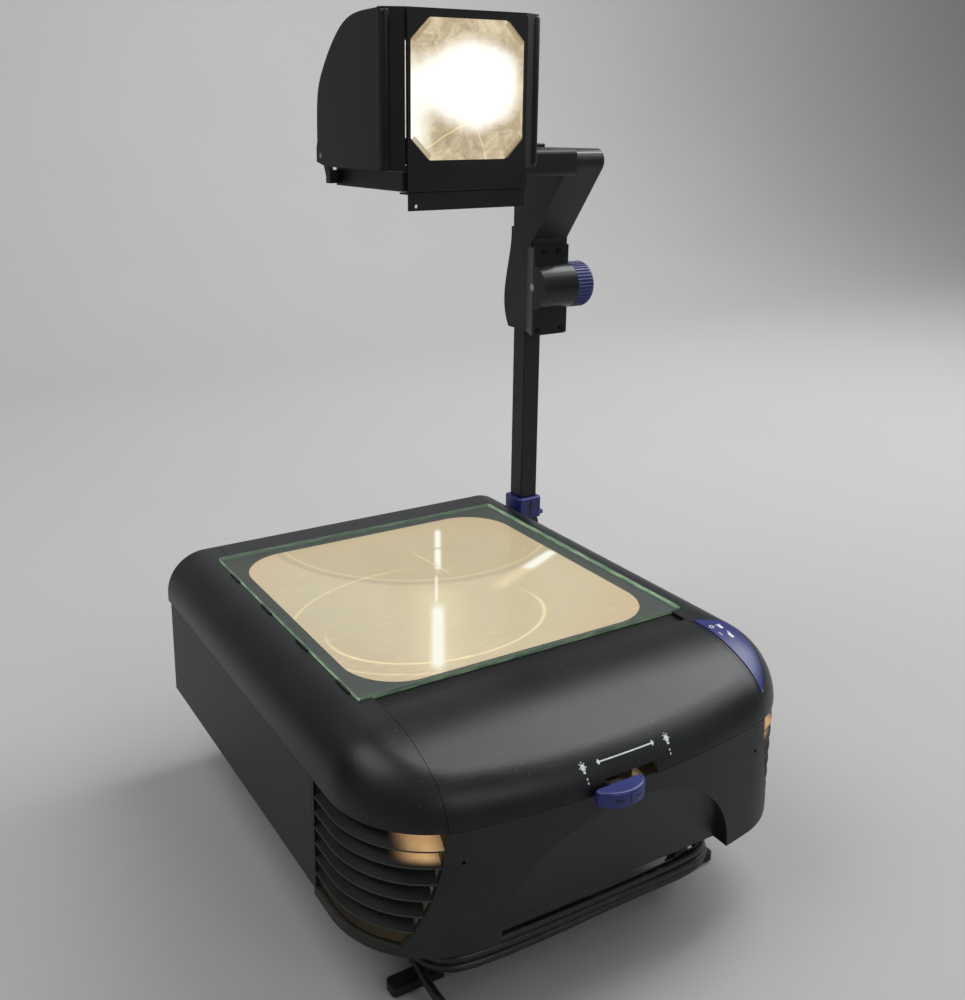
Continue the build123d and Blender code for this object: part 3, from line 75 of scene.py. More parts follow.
# The mains lead's route, in metres from the middle of the stage at floor level.
LEAD_ROUTE = [
    (0.070, -0.100, 0.062), (0.068, -0.125, 0.058), (0.056, -0.148, 0.051),
    (0.033, -0.162, 0.046), (0.005, -0.169, 0.0434),
]
TAIL_ROUTE = [
    (-0.136, -0.199, 0.022), (-0.137, -0.223, 0.015), (-0.131, -0.249, 0.007),
    (-0.119, -0.275, 0.0037), (-0.110, -0.304, 0.0038), (-0.112, -0.334, 0.0037),
    (-0.123, -0.361, 0.0065), (-0.137, -0.385, 0.011),
]


def place(point):
    """A point measured from the middle of the stage at floor level, in the frame."""
    return STAGE + Vector(point)


# ------------------------------------------------------------------ shader writing
class Value:
    """A shader socket on which Python expressions can be written."""

    def __init__(self, finish, socket):
        self.finish = finish
        self.socket = socket

    def math(self, operation, first, second=None, third=None):
        """One Math node on up to three numbers or sockets."""
        given = {0: first, 1: second, 2: third}
        inputs = {slot: value for slot, value in given.items() if value is not None}
        return self.finish.node("ShaderNodeMath", {"operation": operation}, inputs)[0]

    def __add__(self, other):
        return self.math("ADD", self, other)

    def __radd__(self, other):
        return self.math("ADD", other, self)

    def __sub__(self, other):
        return self.math("SUBTRACT", self, other)

    def __rsub__(self, other):
        return self.math("SUBTRACT", other, self)

    def __mul__(self, other):
        return self.math("MULTIPLY", self, other)

    def __rmul__(self, other):
        return self.math("MULTIPLY", other, self)

    def __truediv__(self, other):
        return self.math("DIVIDE", self, other)

    def __rtruediv__(self, other):
        return self.math("DIVIDE", other, self)

    def __pow__(self, other):
        return self.math("POWER", self, other)

    def __neg__(self):
        return self.math("MULTIPLY", self, -1.0)

    def __abs__(self):
        return self.math("ABSOLUTE", self)

    def __gt__(self, other):
        return self.math("GREATER_THAN", self, other)

    def __lt__(self, other):
        return self.math("LESS_THAN", self, other)

    def above(self, low, high):
        """0 below low, 1 above high and smooth between; low may be the larger for the reverse."""
        settings = {"interpolation_type": "SMOOTHSTEP"}
        return self.finish.node(
            "ShaderNodeMapRange", settings, {0: self, 1: low, 2: high, 3: 0.0, 4: 1.0}
        )[0]

    def bell(self, middle, width):
        """1 at middle, falling smoothly to 0 at width either side."""
        return (abs(self - middle) / width).above(1.0, 0.0)


class Finish:
    """A procedural material: its nodes come from one method, its maths from Value."""

    def __init__(self, name):
        self.material = bpy.data.materials.new(name)
        self.material.use_nodes = True
        self.tree = self.material.node_tree
        self.tree.nodes.clear()
        self.output = self.tree.nodes.new("ShaderNodeOutputMaterial")

    def node(self, kind, settings=None, inputs=None):
        """A node of a kind, its settings set first and then its sockets' values or links."""
        made = self.tree.nodes.new(kind)
        for key, value in (settings or {}).items():
            if key == "stops":
                self.set_stops(made.color_ramp, value)
            else:
                setattr(made, key, value)
        for key, value in (inputs or {}).items():
            if isinstance(value, Value):
                self.tree.links.new(value.socket, made.inputs[key])
            elif isinstance(value, tuple) and len(value) == 3 and made.inputs[key].type == "RGBA":
                made.inputs[key].default_value = (*value, 1.0)
            else:
                made.inputs[key].default_value = value
        return [Value(self, socket) for socket in made.outputs]

    @staticmethod
    def set_stops(ramp, stops):
        """Sets a colour ramp's stops from pairs of place and colour."""
        while len(ramp.elements) < len(stops):
            ramp.elements.new(0.5)
        for element, (at, colour) in zip(ramp.elements, stops):
            element.position = at
            element.color = (*colour, 1.0)

    def coordinates(self):
        """The piece's own coordinates, in metres in the frame."""
        return self.node("ShaderNodeTexCoord")[3]

    def axes(self, vector):
        """The three parts of a vector."""
        return self.node("ShaderNodeSeparateXYZ", None, {0: vector})

    def shifted(self, vector, offset, scale=(1.0, 1.0, 1.0)):
        """Coordinates moved and scaled by a Mapping node."""
        inputs = {"Vector": vector, "Location": offset, "Scale": scale}
        return self.node("ShaderNodeMapping", None, inputs)[0]

    def noise(self, vector, scale, detail=3.0, roughness=0.55, distortion=0.0):
        """A noise from 0 to 1."""
        inputs = {"Vector": vector, "Scale": scale, "Detail": detail}
        inputs.update({"Roughness": roughness, "Distortion": distortion})
        return self.node("ShaderNodeTexNoise", None, inputs)[0]

    def cells(self, vector, scale):
        """Distance to the nearest point of a scatter."""
        return self.node("ShaderNodeTexVoronoi", None, {"Vector": vector, "Scale": scale})[0]

    def mix(self, factor, first, second):
        """A colour between two colours."""
        settings = {"data_type": "RGBA"}
        return self.node("ShaderNodeMix", settings, {0: factor, 6: first, 7: second})[2]

    def bump(self, height, strength, distance):
        """A normal from a height."""
        inputs = {"Height": height, "Strength": strength, "Distance": distance}
        return self.node("ShaderNodeBump", None, inputs)[0]

    def normal(self):
        """The surface's own normal."""
        return self.node("ShaderNodeNewGeometry")[1]

    def surface(self, **inputs):
        """The Principled shader that ends the material; inputs are its sockets' names."""
        named = {key.replace("_", " "): value for key, value in inputs.items()}
        shader = self.node("ShaderNodeBsdfPrincipled", None, named)[0]
        self.tree.links.new(shader.socket, self.output.inputs[0])
        return self.material


# ------------------------------------------------------------------ finishes
def moulded_plastic(name, colour, roughness, grain=1.0, dust=0.25, coat=0.0):
    """Grained injection-moulded plastic with faint mottling, dust on its upper faces and rubs."""
    finish = Finish(name)
    at = finish.coordinates()
    mottle = finish.noise(at, 14.0, 4.0)
    fine = finish.noise(at, 2400.0, 2.0)
    pits = finish.noise(at, 900.0, 3.0)
    specks = finish.cells(at, 160.0).above(0.16, 0.05) * finish.noise(at, 30.0).above(0.5, 0.72)
    upward = finish.axes(finish.normal())[2].above(0.25, 0.9)
    rubs = finish.noise(finish.shifted(at, (0, 0, 0), (3.0, 40.0, 3.0)), 18.0, 5.0).above(0.60, 0.78)
    lighter = tuple(1.35 * part + 0.0015 for part in colour)
    darker = tuple(0.75 * part for part in colour)
    body = finish.mix(mottle.above(0.3, 0.7), darker, lighter)
    worn = finish.mix(rubs * 0.05, body, (0.10, 0.10, 0.10))
    dusty = finish.mix(specks * upward * dust, worn, (0.40, 0.38, 0.35))
    shine = roughness + mottle * 0.10 - 0.05 + rubs * 0.08
    relief = fine * 0.45 + pits * 0.55
    return finish.surface(
        Base_Color=dusty,
        Roughness=shine,
        Specular_IOR_Level=0.36,
        Coat_Weight=coat,
        Coat_Roughness=0.25,
        Normal=finish.bump(relief, 0.55 * grain, 0.00018),
    )


def louvre_plastic(colour):
    """Black louvre plastic: painted highlights on the lips, dark slopes in the plastic's own black, and a
    painted glow of the lamp's warm light on the top blades.
    """
    finish = Finish("louvre_plastic")
    at = finish.shifted(finish.coordinates(), tuple(-part for part in STAGE))
    x, y, z = finish.axes(at)
    up = finish.axes(finish.normal())[2]
    # Painted highlight: the steep lip faces are coloured lighter grey than the sloping faces.
    lip_highlight = abs(up).above(0.30, 0.12)
    near = (abs(x) - 0.158).bell(0.0, 0.019) * y.above(-0.225, -0.238)
    # Painted light: a warm emission glow on the upward faces of the top blades near the lamp stands for the
    # lamp's light.
    lamp_light = near * z.above(0.1455, 0.1500) * up.above(0.35, 0.6)
    patch = finish.noise(at, 70.0, 4.0)
    grain = finish.noise(at, 1500.0, 3.0)
    body = finish.mix(lip_highlight, colour, (0.040, 0.042, 0.044))
    glow = finish.mix(patch, (0.42, 0.20, 0.07), (0.95, 0.62, 0.30))
    return finish.surface(
        Base_Color=body,
        Roughness=0.48 + patch * 0.1,
        Specular_IOR_Level=0.3,
        Emission_Color=finish.mix(lamp_light, (0.0, 0.0, 0.0), glow),
        Emission_Strength=0.8,
        Normal=finish.bump(grain, 0.3, 0.0001),
    )


def blue_plastic(colour):
    """Smooth blue moulded plastic with faint flow marks and handling scuffs."""
    finish = Finish("blue_plastic")
    at = finish.coordinates()
    flow = finish.noise(finish.shifted(at, (0, 0, 0), (1.0, 1.0, 4.0)), 25.0, 3.0)
    scuffs = finish.noise(at, 260.0, 6.0).above(0.60, 0.75)
    lighter = tuple(min(1.0, part * 1.35 + 0.01) for part in colour)
    body = finish.mix(flow, tuple(0.8 * part for part in colour), lighter)
    handled = finish.mix(scuffs * 0.10, body, (0.12, 0.14, 0.35))
    return finish.surface(
        Base_Color=handled,
        Roughness=0.36 + scuffs * 0.18,
        Normal=finish.bump(finish.noise(at, 1800.0, 2.0), 0.25, 0.0001),
    )


def painted_tube(colour):
    """Satin black tube whose faces carry fine lengthwise draw lines."""
    finish = Finish("mast_finish")
    at = finish.coordinates()
    lines = finish.noise(finish.shifted(at, (0, 0, 0), (1.0, 1.0, 0.01)), 1600.0, 4.0)
    wear = finish.noise(at, 60.0, 5.0).above(0.62, 0.80)
    body = finish.mix(lines, tuple(0.7 * part for part in colour), tuple(1.5 * part for part in colour))
    return finish.surface(
        Base_Color=finish.mix(wear * 0.06, body, (0.12, 0.12, 0.11)),
        Roughness=0.38 + lines * 0.14,
        Specular_IOR_Level=0.4,
        Normal=finish.bump(lines, 0.35, 0.00008),
    )


def brushed_metal(name, colour, roughness, metallic=1.0):
    """Plated or spun metal with faint streaks and dull patches."""
    finish = Finish(name)
    at = finish.coordinates()
    streaks = finish.noise(finish.shifted(at, (0, 0, 0), (0.05, 1.0, 1.0)), 1400.0, 3.0)
    dull = finish.noise(at, 90.0, 4.0)
    body = finish.mix(dull, tuple(0.78 * part for part in colour), colour)
    return finish.surface(
        Base_Color=body,
        Roughness=roughness + dull * 0.14,
        Metallic=metallic,
        Normal=finish.bump(streaks, 0.25, 0.00005),
    )


def rubber(name, colour):
    """Dull black rubber with a dusty bloom."""
    finish = Finish(name)
    at = finish.coordinates()
    bloom = finish.noise(at, 55.0, 5.0).above(0.42, 0.80)
    return finish.surface(
        Base_Color=finish.mix(bloom * 0.35, colour, (0.075, 0.075, 0.075)),
        Roughness=0.58 + bloom * 0.2,
        Normal=finish.bump(finish.noise(at, 1300.0, 3.0), 0.4, 0.0001),
    )


def cord_sheath():
    """Smooth black sheath of a mains lead, slightly glossy, with dust and faint wrinkles."""
    finish = Finish("cord_sheath")
    at = finish.coordinates()
    dust = finish.noise(at, 120.0, 5.0).above(0.50, 0.78)
    wrinkles = finish.noise(at, 420.0, 2.0)
    return finish.surface(
        Base_Color=finish.mix(dust * 0.30, (0.011, 0.011, 0.012), (0.10, 0.10, 0.095)),
        Roughness=0.34 + dust * 0.25,
        Normal=finish.bump(wrinkles, 0.15, 0.0003),
    )


def stage_sheet():
    """Clear glass: faintly green on its faces, with a painted pale green glow on its edges, full on those
    facing left and weaker on those facing the front.
    """
    finish = Finish("stage_sheet_glass")
    at = finish.coordinates()
    across, along, up = finish.axes(finish.normal())
    edge = abs(up).above(0.85, 0.45)
    # Painted light: a glow on the glass edges, chosen by which way they face.
    lit = across.above(-0.3, -0.8) + along.above(-0.3, -0.8) * 0.30
    glints = finish.noise(finish.shifted(at, (0, 0, 0), (1.0, 1.0, 6.0)), 55.0, 4.0)
    chips = finish.noise(at, 240.0, 3.0).above(0.58, 0.70)
    edge_glow_colour = finish.mix(glints.above(0.35, 0.7), (0.16, 0.34, 0.20), (0.62, 0.85, 0.50))
    glow = finish.mix(lit, (0.0, 0.0, 0.0), edge_glow_colour)
    film = finish.noise(at, 9.0, 4.0, 0.6, 0.4)
    return finish.surface(
        Base_Color=finish.mix(edge, (0.42, 0.50, 0.45), (0.03, 0.07, 0.045)),
        Roughness=0.035 + chips * edge * 0.2,
        Alpha=0.075 + film * 0.05 + edge * 0.55,
        Emission_Color=glow,
        Emission_Strength=0.75,
        Specular_IOR_Level=0.5,
    )


def lit_lens():
    """The ring lens under the stage with the lamp's light painted on it: a painted warm glow crossed by
    painted streaks and ring arcs, with painted shade in its bowl.
    """
    finish = Finish("lit_ring_lens")
    at = finish.shifted(finish.coordinates(), tuple(-part for part in STAGE))
    x, y, height = finish.axes(at)
    reach = (x * x + y * y) ** 0.5
    cloud = finish.noise(at, 9.0, 5.0, 0.6, 0.8)
    rings = finish.node("ShaderNodeMath", {"operation": "SINE"}, {0: reach * 3600.0})[0]

    def arc(centre_x, centre_y, radius_x, radius_y, width):
        """Brightness of a thin elliptical arc."""
        across = (x - centre_x) / radius_x
        along = (y - centre_y) / radius_y
        return ((across * across + along * along) ** 0.5).bell(1.0, width)

    def ray(centre, direction, half_length, half_width):
        """Brightness of a straight streak with soft sides and ends."""
        from_x, from_y = x - centre[0], y - centre[1]
        side = from_x * direction[1] - from_y * direction[0]
        ahead = from_x * direction[0] + from_y * direction[1]
        return side.bell(0.0, half_width) * ahead.bell(0.0, half_length).above(0.0, 0.45)

    reflected = finish.noise(finish.shifted(at, (0, 0, 0), (1.0, 5.0, 1.0)), 24.0, 5.0, 0.62, 1.6)
    sparkle = finish.noise(at, 48.0, 5.0, 0.7, 2.0).above(0.60, 0.72)
    beads = finish.noise(finish.shifted(at, (0, 0, 0), (0.51, 0.86, 0.0)), 75.0, 2.0)
    rear = ray((0.045, 0.0745), (0.51, 0.86), 0.072, 0.0052) * (0.35 + beads.above(0.35, 0.6) * 1.1)
    thread = ray((-0.004, -0.006), (0.51, 0.86), 0.040, 0.0022) * 0.9
    front = ray((-0.0495, -0.0855), (0.51, 0.86), 0.078, 0.0088) * 1.35
    halo = ray((-0.040, -0.070), (0.51, 0.86), 0.110, 0.034) * 0.32
    flare = ray((0.118, 0.003), (0.907, 0.42), 0.036, 0.0085) * 1.3
    flare_tail = ray((0.085, -0.012), (0.907, 0.42), 0.060, 0.012) * 0.45
    thin = ray((0.022, 0.048), (-0.10, 0.995), 0.040, 0.0012) * 0.7
    bowl = arc(0.055, 0.150, 0.153, 0.153, 0.040)
    bowl_line = arc(0.055, 0.150, 0.146, 0.146, 0.010) * 0.35
    inside = ((x - 0.055) * (x - 0.055) + (y - 0.150) * (y - 0.150)).above(0.0240, 0.0200)
    low_ring = arc(-0.035, -0.060, 0.100, 0.070, 0.030) * y.above(-0.02, -0.09) * 0.8
    outer_ring = arc(-0.030, -0.050, 0.130, 0.098, 0.022) * x.above(0.02, -0.05) * 0.45
    fans = reflected.above(0.52, 0.70) * y.above(0.0, -0.05) * x.above(0.05, -0.02)
    glints = sparkle * (0.25 + fans * 0.9)
    # Every colour here is painted light: the glow greyer to the left and warmer at the edge, painted shade
    # inside and along the bowl, and painted streaks, rings and glints.
    base = finish.mix(cloud, (0.50, 0.395, 0.215), (0.70, 0.575, 0.355))
    left_grey = finish.mix(x.above(-0.02, -0.14) * 0.35, base, (0.46, 0.41, 0.31))
    warm_edge = finish.mix(reach.above(0.115, 0.185) * 0.65, left_grey, (0.60, 0.40, 0.22))
    bowl_shaded = finish.mix(inside * 0.42, warm_edge, (0.42, 0.30, 0.14))
    dim = finish.mix(bowl * 0.38 + rings * 0.012 + 0.012, bowl_shaded, (0.24, 0.19, 0.11))
    light = low_ring + outer_ring + bowl_line + glints + halo + flare_tail + fans * 0.22 + thin
    lit = finish.mix(light, dim, (1.0, 0.82, 0.45))
    hot = rear + thread + front + flare
    final = finish.mix(hot, lit, (1.0, 0.97, 0.84))
    return finish.surface(
        Base_Color=(0.05, 0.045, 0.035),
        Roughness=0.35,
        Emission_Color=final,
        Emission_Strength=1.0,
        Normal=finish.bump(rings, 0.1, 0.0001),
    )


def stage_card():
    """The grey-green card round the lit field, seen through the glass."""
    finish = Finish("stage_card")
    at = finish.coordinates()
    fibre = finish.noise(at, 300.0, 4.0)
    return finish.surface(
        Base_Color=finish.mix(fibre, (0.024, 0.028, 0.025), (0.036, 0.041, 0.037)),
        Roughness=0.55 + fibre * 0.1,
        Normal=finish.bump(fibre, 0.2, 0.0001),
    )


def lit_window():
    """The head's window with its light painted as glow: dazzling at its heart and lower left, warm and dusty
    towards its cut corners, with painted glints along its scratches.
    """
    finish = Finish("lit_head_window")
    low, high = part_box("window_glass")
    middle = (low + high) / 2
    at = finish.shifted(finish.coordinates(), tuple(-part for part in middle))
    x, depth, z = finish.axes(at)
    wide, tall = (x - 0.006) / 0.047, (z - 0.004) / 0.036
    # Painted light: a bright core, and a bright patch at the lower left.
    core = ((wide * wide + tall * tall) ** 0.5 + finish.noise(at, 30.0, 3.0) * 0.35).above(1.45, 0.75)
    left = x.above(-0.022, -0.052) * z.above(0.045, 0.0)
    dirt = finish.noise(at, 55.0, 6.0, 0.7, 0.8)
    grit = finish.noise(at, 520.0, 4.0, 0.7).above(0.52, 0.68)
    # Painted glints along two real scratches.
    scratch_one = (x * 0.93 + z * 0.37 + finish.noise(at, 25.0) * 0.006).bell(0.0, 0.0007)
    scratch_two = (x * 0.45 - z * 0.89 + finish.noise(at, 19.0) * 0.010).bell(0.028, 0.0008)
    scratches = (scratch_one + scratch_two) * z.above(-0.010, -0.024)
    # Real dirt and grit mottle the painted glow.
    film = finish.mix(dirt.above(0.3, 0.7), (0.36, 0.28, 0.17), (0.66, 0.56, 0.38))
    speckled = finish.mix(grit * 0.30, film, (0.22, 0.17, 0.10))
    scratch_glints = finish.mix(scratches * 0.8, speckled, (0.95, 0.72, 0.35))
    warm = finish.mix((core + left * 0.8).above(0.05, 0.95), scratch_glints, (1.0, 0.97, 0.88))
    return finish.surface(
        Base_Color=(0.05, 0.045, 0.04),
        Roughness=0.12 + grit * 0.3,
        Emission_Color=warm,
        Emission_Strength=1.15,
    )


def clear_clip():
    """Clear moulded plastic, warm-tinted and with a faint painted glow standing for the window's light on it.
    """
    finish = Finish("clear_clip")
    cloud = finish.noise(finish.coordinates(), 160.0, 3.0)
    return finish.surface(
        Base_Color=finish.mix(cloud, (0.30, 0.25, 0.17), (0.55, 0.47, 0.33)),
        Roughness=0.15,
        Alpha=0.45 + cloud * 0.2,
        Emission_Color=finish.mix(cloud, (0.10, 0.07, 0.03), (0.32, 0.25, 0.14)),
        Emission_Strength=1.0,
    )


def lit_optic():
    """A lens whose painted glow stands for the light passing through it."""
    finish = Finish("lit_optic")
    at = finish.coordinates()
    cloud = finish.noise(at, 22.0, 3.0)
    return finish.surface(
        Base_Color=(0.6, 0.6, 0.55),
        Roughness=0.08,
        Emission_Color=finish.mix(cloud, (0.75, 0.62, 0.40), (1.0, 0.93, 0.75)),
        Emission_Strength=0.9,
    )


def lamp_quartz():
    """A burning capsule lamp."""
    finish = Finish("lamp_quartz")
    cloud = finish.noise(finish.coordinates(), 200.0, 2.0)
    return finish.surface(
        Base_Color=(0.9, 0.85, 0.7),
        Roughness=0.1,
        Emission_Color=finish.mix(cloud, (1.0, 0.60, 0.25), (1.0, 0.80, 0.50)),
        Emission_Strength=9.0,
    )


def silvered():
    """Front-silvered mirror with a film of dust."""
    finish = Finish("silvered")
    dust = finish.noise(finish.coordinates(), 140.0, 5.0).above(0.45, 0.8)
    return finish.surface(
        Base_Color=finish.mix(dust * 0.3, (0.90, 0.90, 0.88), (0.55, 0.52, 0.46)),
        Roughness=0.03 + dust * 0.25,
        Metallic=1.0,
    )


def printed(name, colour):
    """Screen-printed ink, a little uneven."""
    finish = Finish(name)
    patchy = finish.noise(finish.coordinates(), 900.0, 3.0).above(0.25, 0.6)
    return finish.surface(
        Base_Color=finish.mix(patchy, tuple(0.6 * part for part in colour), colour),
        Roughness=0.5 + patchy * 0.1,
    )


def pale_floor(colour):
    """Plain pale paper floor with soft mottling."""
    finish = Finish("pale_floor")
    at = finish.coordinates()
    soft = finish.noise(at, 2.2, 4.0)
    fibre = finish.noise(at, 160.0, 4.0)
    return finish.surface(
        Base_Color=finish.mix(soft * 0.5 + fibre * 0.5, tuple(0.90 * part for part in colour), colour),
        Roughness=0.75 + fibre * 0.1,
        Normal=finish.bump(soft, 0.2, 0.004),
    )


# ------------------------------------------------------------------ modelling helpers
def start_clean():
    """Leaves edit mode and deselects everything."""
    if bpy.context.mode != "OBJECT":
        bpy.ops.object.mode_set(mode="OBJECT")
    bpy.ops.object.select_all(action="DESELECT")


def pick(piece):
    """Makes a piece the only selected and active one."""
    start_clean()
    piece.select_set(True)
    bpy.context.view_layer.objects.active = piece


def settle(piece, name, material, body, replaced=()):
    """Ends a piece: place baked in its mesh, finish, smooth faces and body."""
    pick(piece)
    if piece.type == "MESH":
        bpy.ops.object.transform_apply(location=True, rotation=True, scale=True)
        bpy.ops.object.mode_set(mode="EDIT")
        bpy.ops.mesh.select_all(action="SELECT")
        bpy.ops.mesh.remove_doubles(threshold=1e-6)
        bpy.ops.mesh.normals_make_consistent(inside=False)
        bpy.ops.object.mode_set(mode="OBJECT")
        bpy.ops.object.shade_smooth_by_angle(angle=radians(35))
    piece.name = name
    piece.data.name = name
    piece.data.materials.clear()
    piece.data.materials.append(material)
    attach(piece, body)
    if replaced:
        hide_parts(*replaced)
    return piece


def apply_modifier(piece, kind, **settings):
    """Adds a modifier with its settings and applies it."""
    pick(piece)
    modifier = piece.modifiers.new(kind.lower(), kind)
    for key, value in settings.items():
        setattr(modifier, key, value)
    bpy.ops.object.modifier_apply(modifier=modifier.name)


def new_box(low, high):
    """A box primitive between two corners given from the middle of the stage."""
    start_clean()
    low, high = place(low), place(high)
    bpy.ops.mesh.primitive_cube_add(size=1.0, location=(low + high) / 2)
    return sized(bpy.context.object, high - low)


def sized(piece, scale):
    """Scales a new primitive along its own axes."""
    piece.scale = scale
    return piece


def new_sheet(spot, width, height, upright, cuts):
    """A flat rectangle centred at a spot, lying or upright and facing forwards, cut finely."""
    start_clean()
    turn = (radians(90), 0, 0) if upright else (0, 0, 0)
    bpy.ops.mesh.primitive_plane_add(size=1.0, location=place(spot), rotation=turn)
    piece = sized(bpy.context.object, (width, height, 1.0))
    cut_finely(piece, cuts)
    return piece


def new_disc(spot, radius, depth, axis="Z", sides=32):
    """A short cylinder primitive centred at a spot, along an axis."""
    start_clean()
    turns = {"X": (0, radians(90), 0), "Y": (radians(90), 0, 0), "Z": (0, 0, 0)}
    bpy.ops.mesh.primitive_cylinder_add(
        vertices=sides, radius=radius, depth=depth, location=place(spot), rotation=turns[axis]
    )
    return bpy.context.object


def round_edges(piece, width, segments=3):
    """Rounds every sharp edge of a piece."""
    apply_modifier(piece, "BEVEL", width=width, segments=segments, limit_method="ANGLE")


def join(pieces):
    """Joins several pieces into the first of them."""
    start_clean()
    for piece in pieces:
        piece.select_set(True)
    bpy.context.view_layer.objects.active = pieces[0]
    bpy.ops.object.join()
    return bpy.context.object


def cut_finely(piece, cuts):
    """Divides all the faces of a piece."""
    pick(piece)
    bpy.ops.object.transform_apply(location=True, rotation=True, scale=True)
    bpy.ops.object.mode_set(mode="EDIT")
    bpy.ops.mesh.select_all(action="SELECT")
    bpy.ops.mesh.subdivide(number_cuts=cuts)
    bpy.ops.object.mode_set(mode="OBJECT")


def print_onto(piece, node, axis, offset=0.00012):
    """Lays flat marks onto a node's surface along an axis, a hair above it."""
    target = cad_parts[node]
    modifier = {"wrap_method": "PROJECT", "target": target, "offset": offset}
    modifier.update({f"use_project_{axis}": True, "use_negative_direction": True})
    modifier.update({"use_positive_direction": True, "cull_face": "OFF"})
    apply_modifier(piece, "SHRINKWRAP", **modifier)


def dress(material, *nodes):
    """Gives CAD nodes a finish."""
    for name in nodes:
        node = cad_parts[name]
        node.data.materials.clear()
        node.data.materials.append(material)


# ------------------------------------------------------------------ properties
class ProjectorSizes(PropertyGroup):
    cord_diameter: FloatProperty(
        name="Cord diameter", description="Thickness of the mains lead", default=0.0072, unit="LENGTH"
    )
    cord_turns: IntProperty(
        name="Cord turns", description="Whole turns of the lead round the front feet", default=3
    )


class ProjectorColours(PropertyGroup):
    top_shell: FloatVectorProperty(
        name="Top shell", description="Colour of the curved covers", subtype="COLOR",
        default=(0.0040, 0.0056, 0.0074),
    )
    lower_shell: FloatVectorProperty(
        name="Lower shell", description="Colour of the side panels and bezel", subtype="COLOR",
        default=(0.0082, 0.0094, 0.0103),
    )
    head_shell: FloatVectorProperty(
        name="Head", description="Colour of the mirror head", subtype="COLOR",
        default=(0.0042, 0.0042, 0.0044),
    )
    arm_shell: FloatVectorProperty(
        name="Arm", description="Colour of the focusing arm", subtype="COLOR",
        default=(0.0080, 0.0076, 0.0066),
    )
    accent: FloatVectorProperty(
        name="Accent", description="Colour of the blue controls", subtype="COLOR",
        default=(0.008, 0.015, 0.135),
    )
    floor: FloatVectorProperty(
        name="Floor", description="Colour of the floor", subtype="COLOR", default=(0.46, 0.46, 0.455)
    )


# ------------------------------------------------------------------ operators
class PROJECTOR_OT_camera(Operator):
    """Places the camera that the pictures are taken with"""

    bl_idname = "projector.camera"
    bl_label = "Camera"

    def execute(self, context):
        camera = bpy.data.cameras.new("camera")
        camera.lens = 38.83
        camera.shift_x = 0.0756
        camera.shift_y = -0.1064
        holder = bpy.data.objects.new("camera", camera)
        context.scene.collection.objects.link(holder)
        turn = Matrix.Rotation(radians(CAMERA_TURN), 4, "Z")
        lift = Matrix.Rotation(radians(90 - CAMERA_DROP), 4, "X")
        roll = Matrix.Rotation(radians(CAMERA_ROLL), 4, "Z")
        spot = Matrix.Translation(place(CAMERA_SPOT))
        holder.matrix_world = spot @ turn @ lift @ roll
        context.scene.camera = holder
        return {"FINISHED"}


class PROJECTOR_OT_stage(Operator):
    """Adds the pale floor, its rising backdrop and the soft studio lights"""

    bl_idname = "projector.stage"
    bl_label = "Stage and Lights"

    def execute(self, context):
        start_clean()
        bpy.ops.mesh.primitive_plane_add(size=24.0, location=(0, -8.5, 0))
        floor = context.object
        bpy.ops.object.mode_set(mode="EDIT")
        bpy.ops.mesh.select_all(action="DESELECT")
        bpy.ops.object.mode_set(mode="OBJECT")
        for edge in floor.data.edges:
            edge.select = all(floor.data.vertices[corner].co.y > 10 for corner in edge.vertices)
        bpy.ops.object.mode_set(mode="EDIT")
        bpy.ops.mesh.select_mode(type="EDGE")
        bpy.ops.mesh.extrude_region_move(TRANSFORM_OT_translate={"value": (0, 0, 14)})
        bpy.ops.object.mode_set(mode="OBJECT")
        apply_modifier(floor, "BEVEL", width=1.6, segments=24, limit_method="ANGLE")
        bpy.ops.object.transform_apply(location=True, rotation=True, scale=True)
        bpy.ops.object.shade_smooth()
        floor.name = "floor"
        floor.data.materials.append(pale_floor(tuple(context.scene.projector_colours.floor)))
        self.add_light("key", (-1.3, 0.3, 2.4), (0.0, 0.0, 0.2), 1.6, 26, (1.0, 0.99, 0.97))
        self.add_light("side", (2.4, -0.3, 1.9), (0.0, 0.0, 0.2), 1.5, 30, (0.95, 0.98, 1.0))
        self.add_light("front", (0.5, -2.6, 1.9), (0.0, 0.0, 0.15), 1.0, 9, (1.0, 1.0, 1.0))
        self.add_light("wall", (1.8, 0.6, 3.2), (0.8, 3.4, 1.0), 2.4, 105, (1.0, 1.0, 1.0))
        self.add_lamp_glow()
        world = bpy.data.worlds.new("studio")
        world.use_nodes = True
        background = world.node_tree.nodes["Background"]
        background.inputs[0].default_value = (0.86, 0.87, 0.88, 1.0)
        background.inputs[1].default_value = 0.30
        context.scene.world = world
        context.scene.view_settings.view_transform = "Standard"
        return {"FINISHED"}

    @staticmethod
    def add_light(name, spot, target, size, power, colour):
        """One soft area light aimed at a target."""
        data = bpy.data.lights.new(name, "AREA")
        data.shape = "SQUARE"
        data.size = size
        data.energy = power
        data.color = colour
        holder = bpy.data.objects.new(name, data)
        bpy.context.scene.collection.objects.link(holder)
        holder.location = spot
        aim = Vector(target) - Vector(spot)
        holder.rotation_euler = aim.to_track_quat("-Z", "Y").to_euler()

    @staticmethod
    def add_lamp_glow():
        """The lamp's warm light inside the casing, which shows through the vents."""
        low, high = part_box("lamps")
        data = bpy.data.lights.new("lamp_glow", "POINT")
        data.energy = 0.9
        data.color = (1.0, 0.62, 0.30)
        data.shadow_soft_size = 0.01
        holder = bpy.data.objects.new("lamp_glow", data)
        bpy.context.scene.collection.objects.link(holder)
        holder.location = ((low.x + high.x) / 2, high.y + 0.02, high.z)


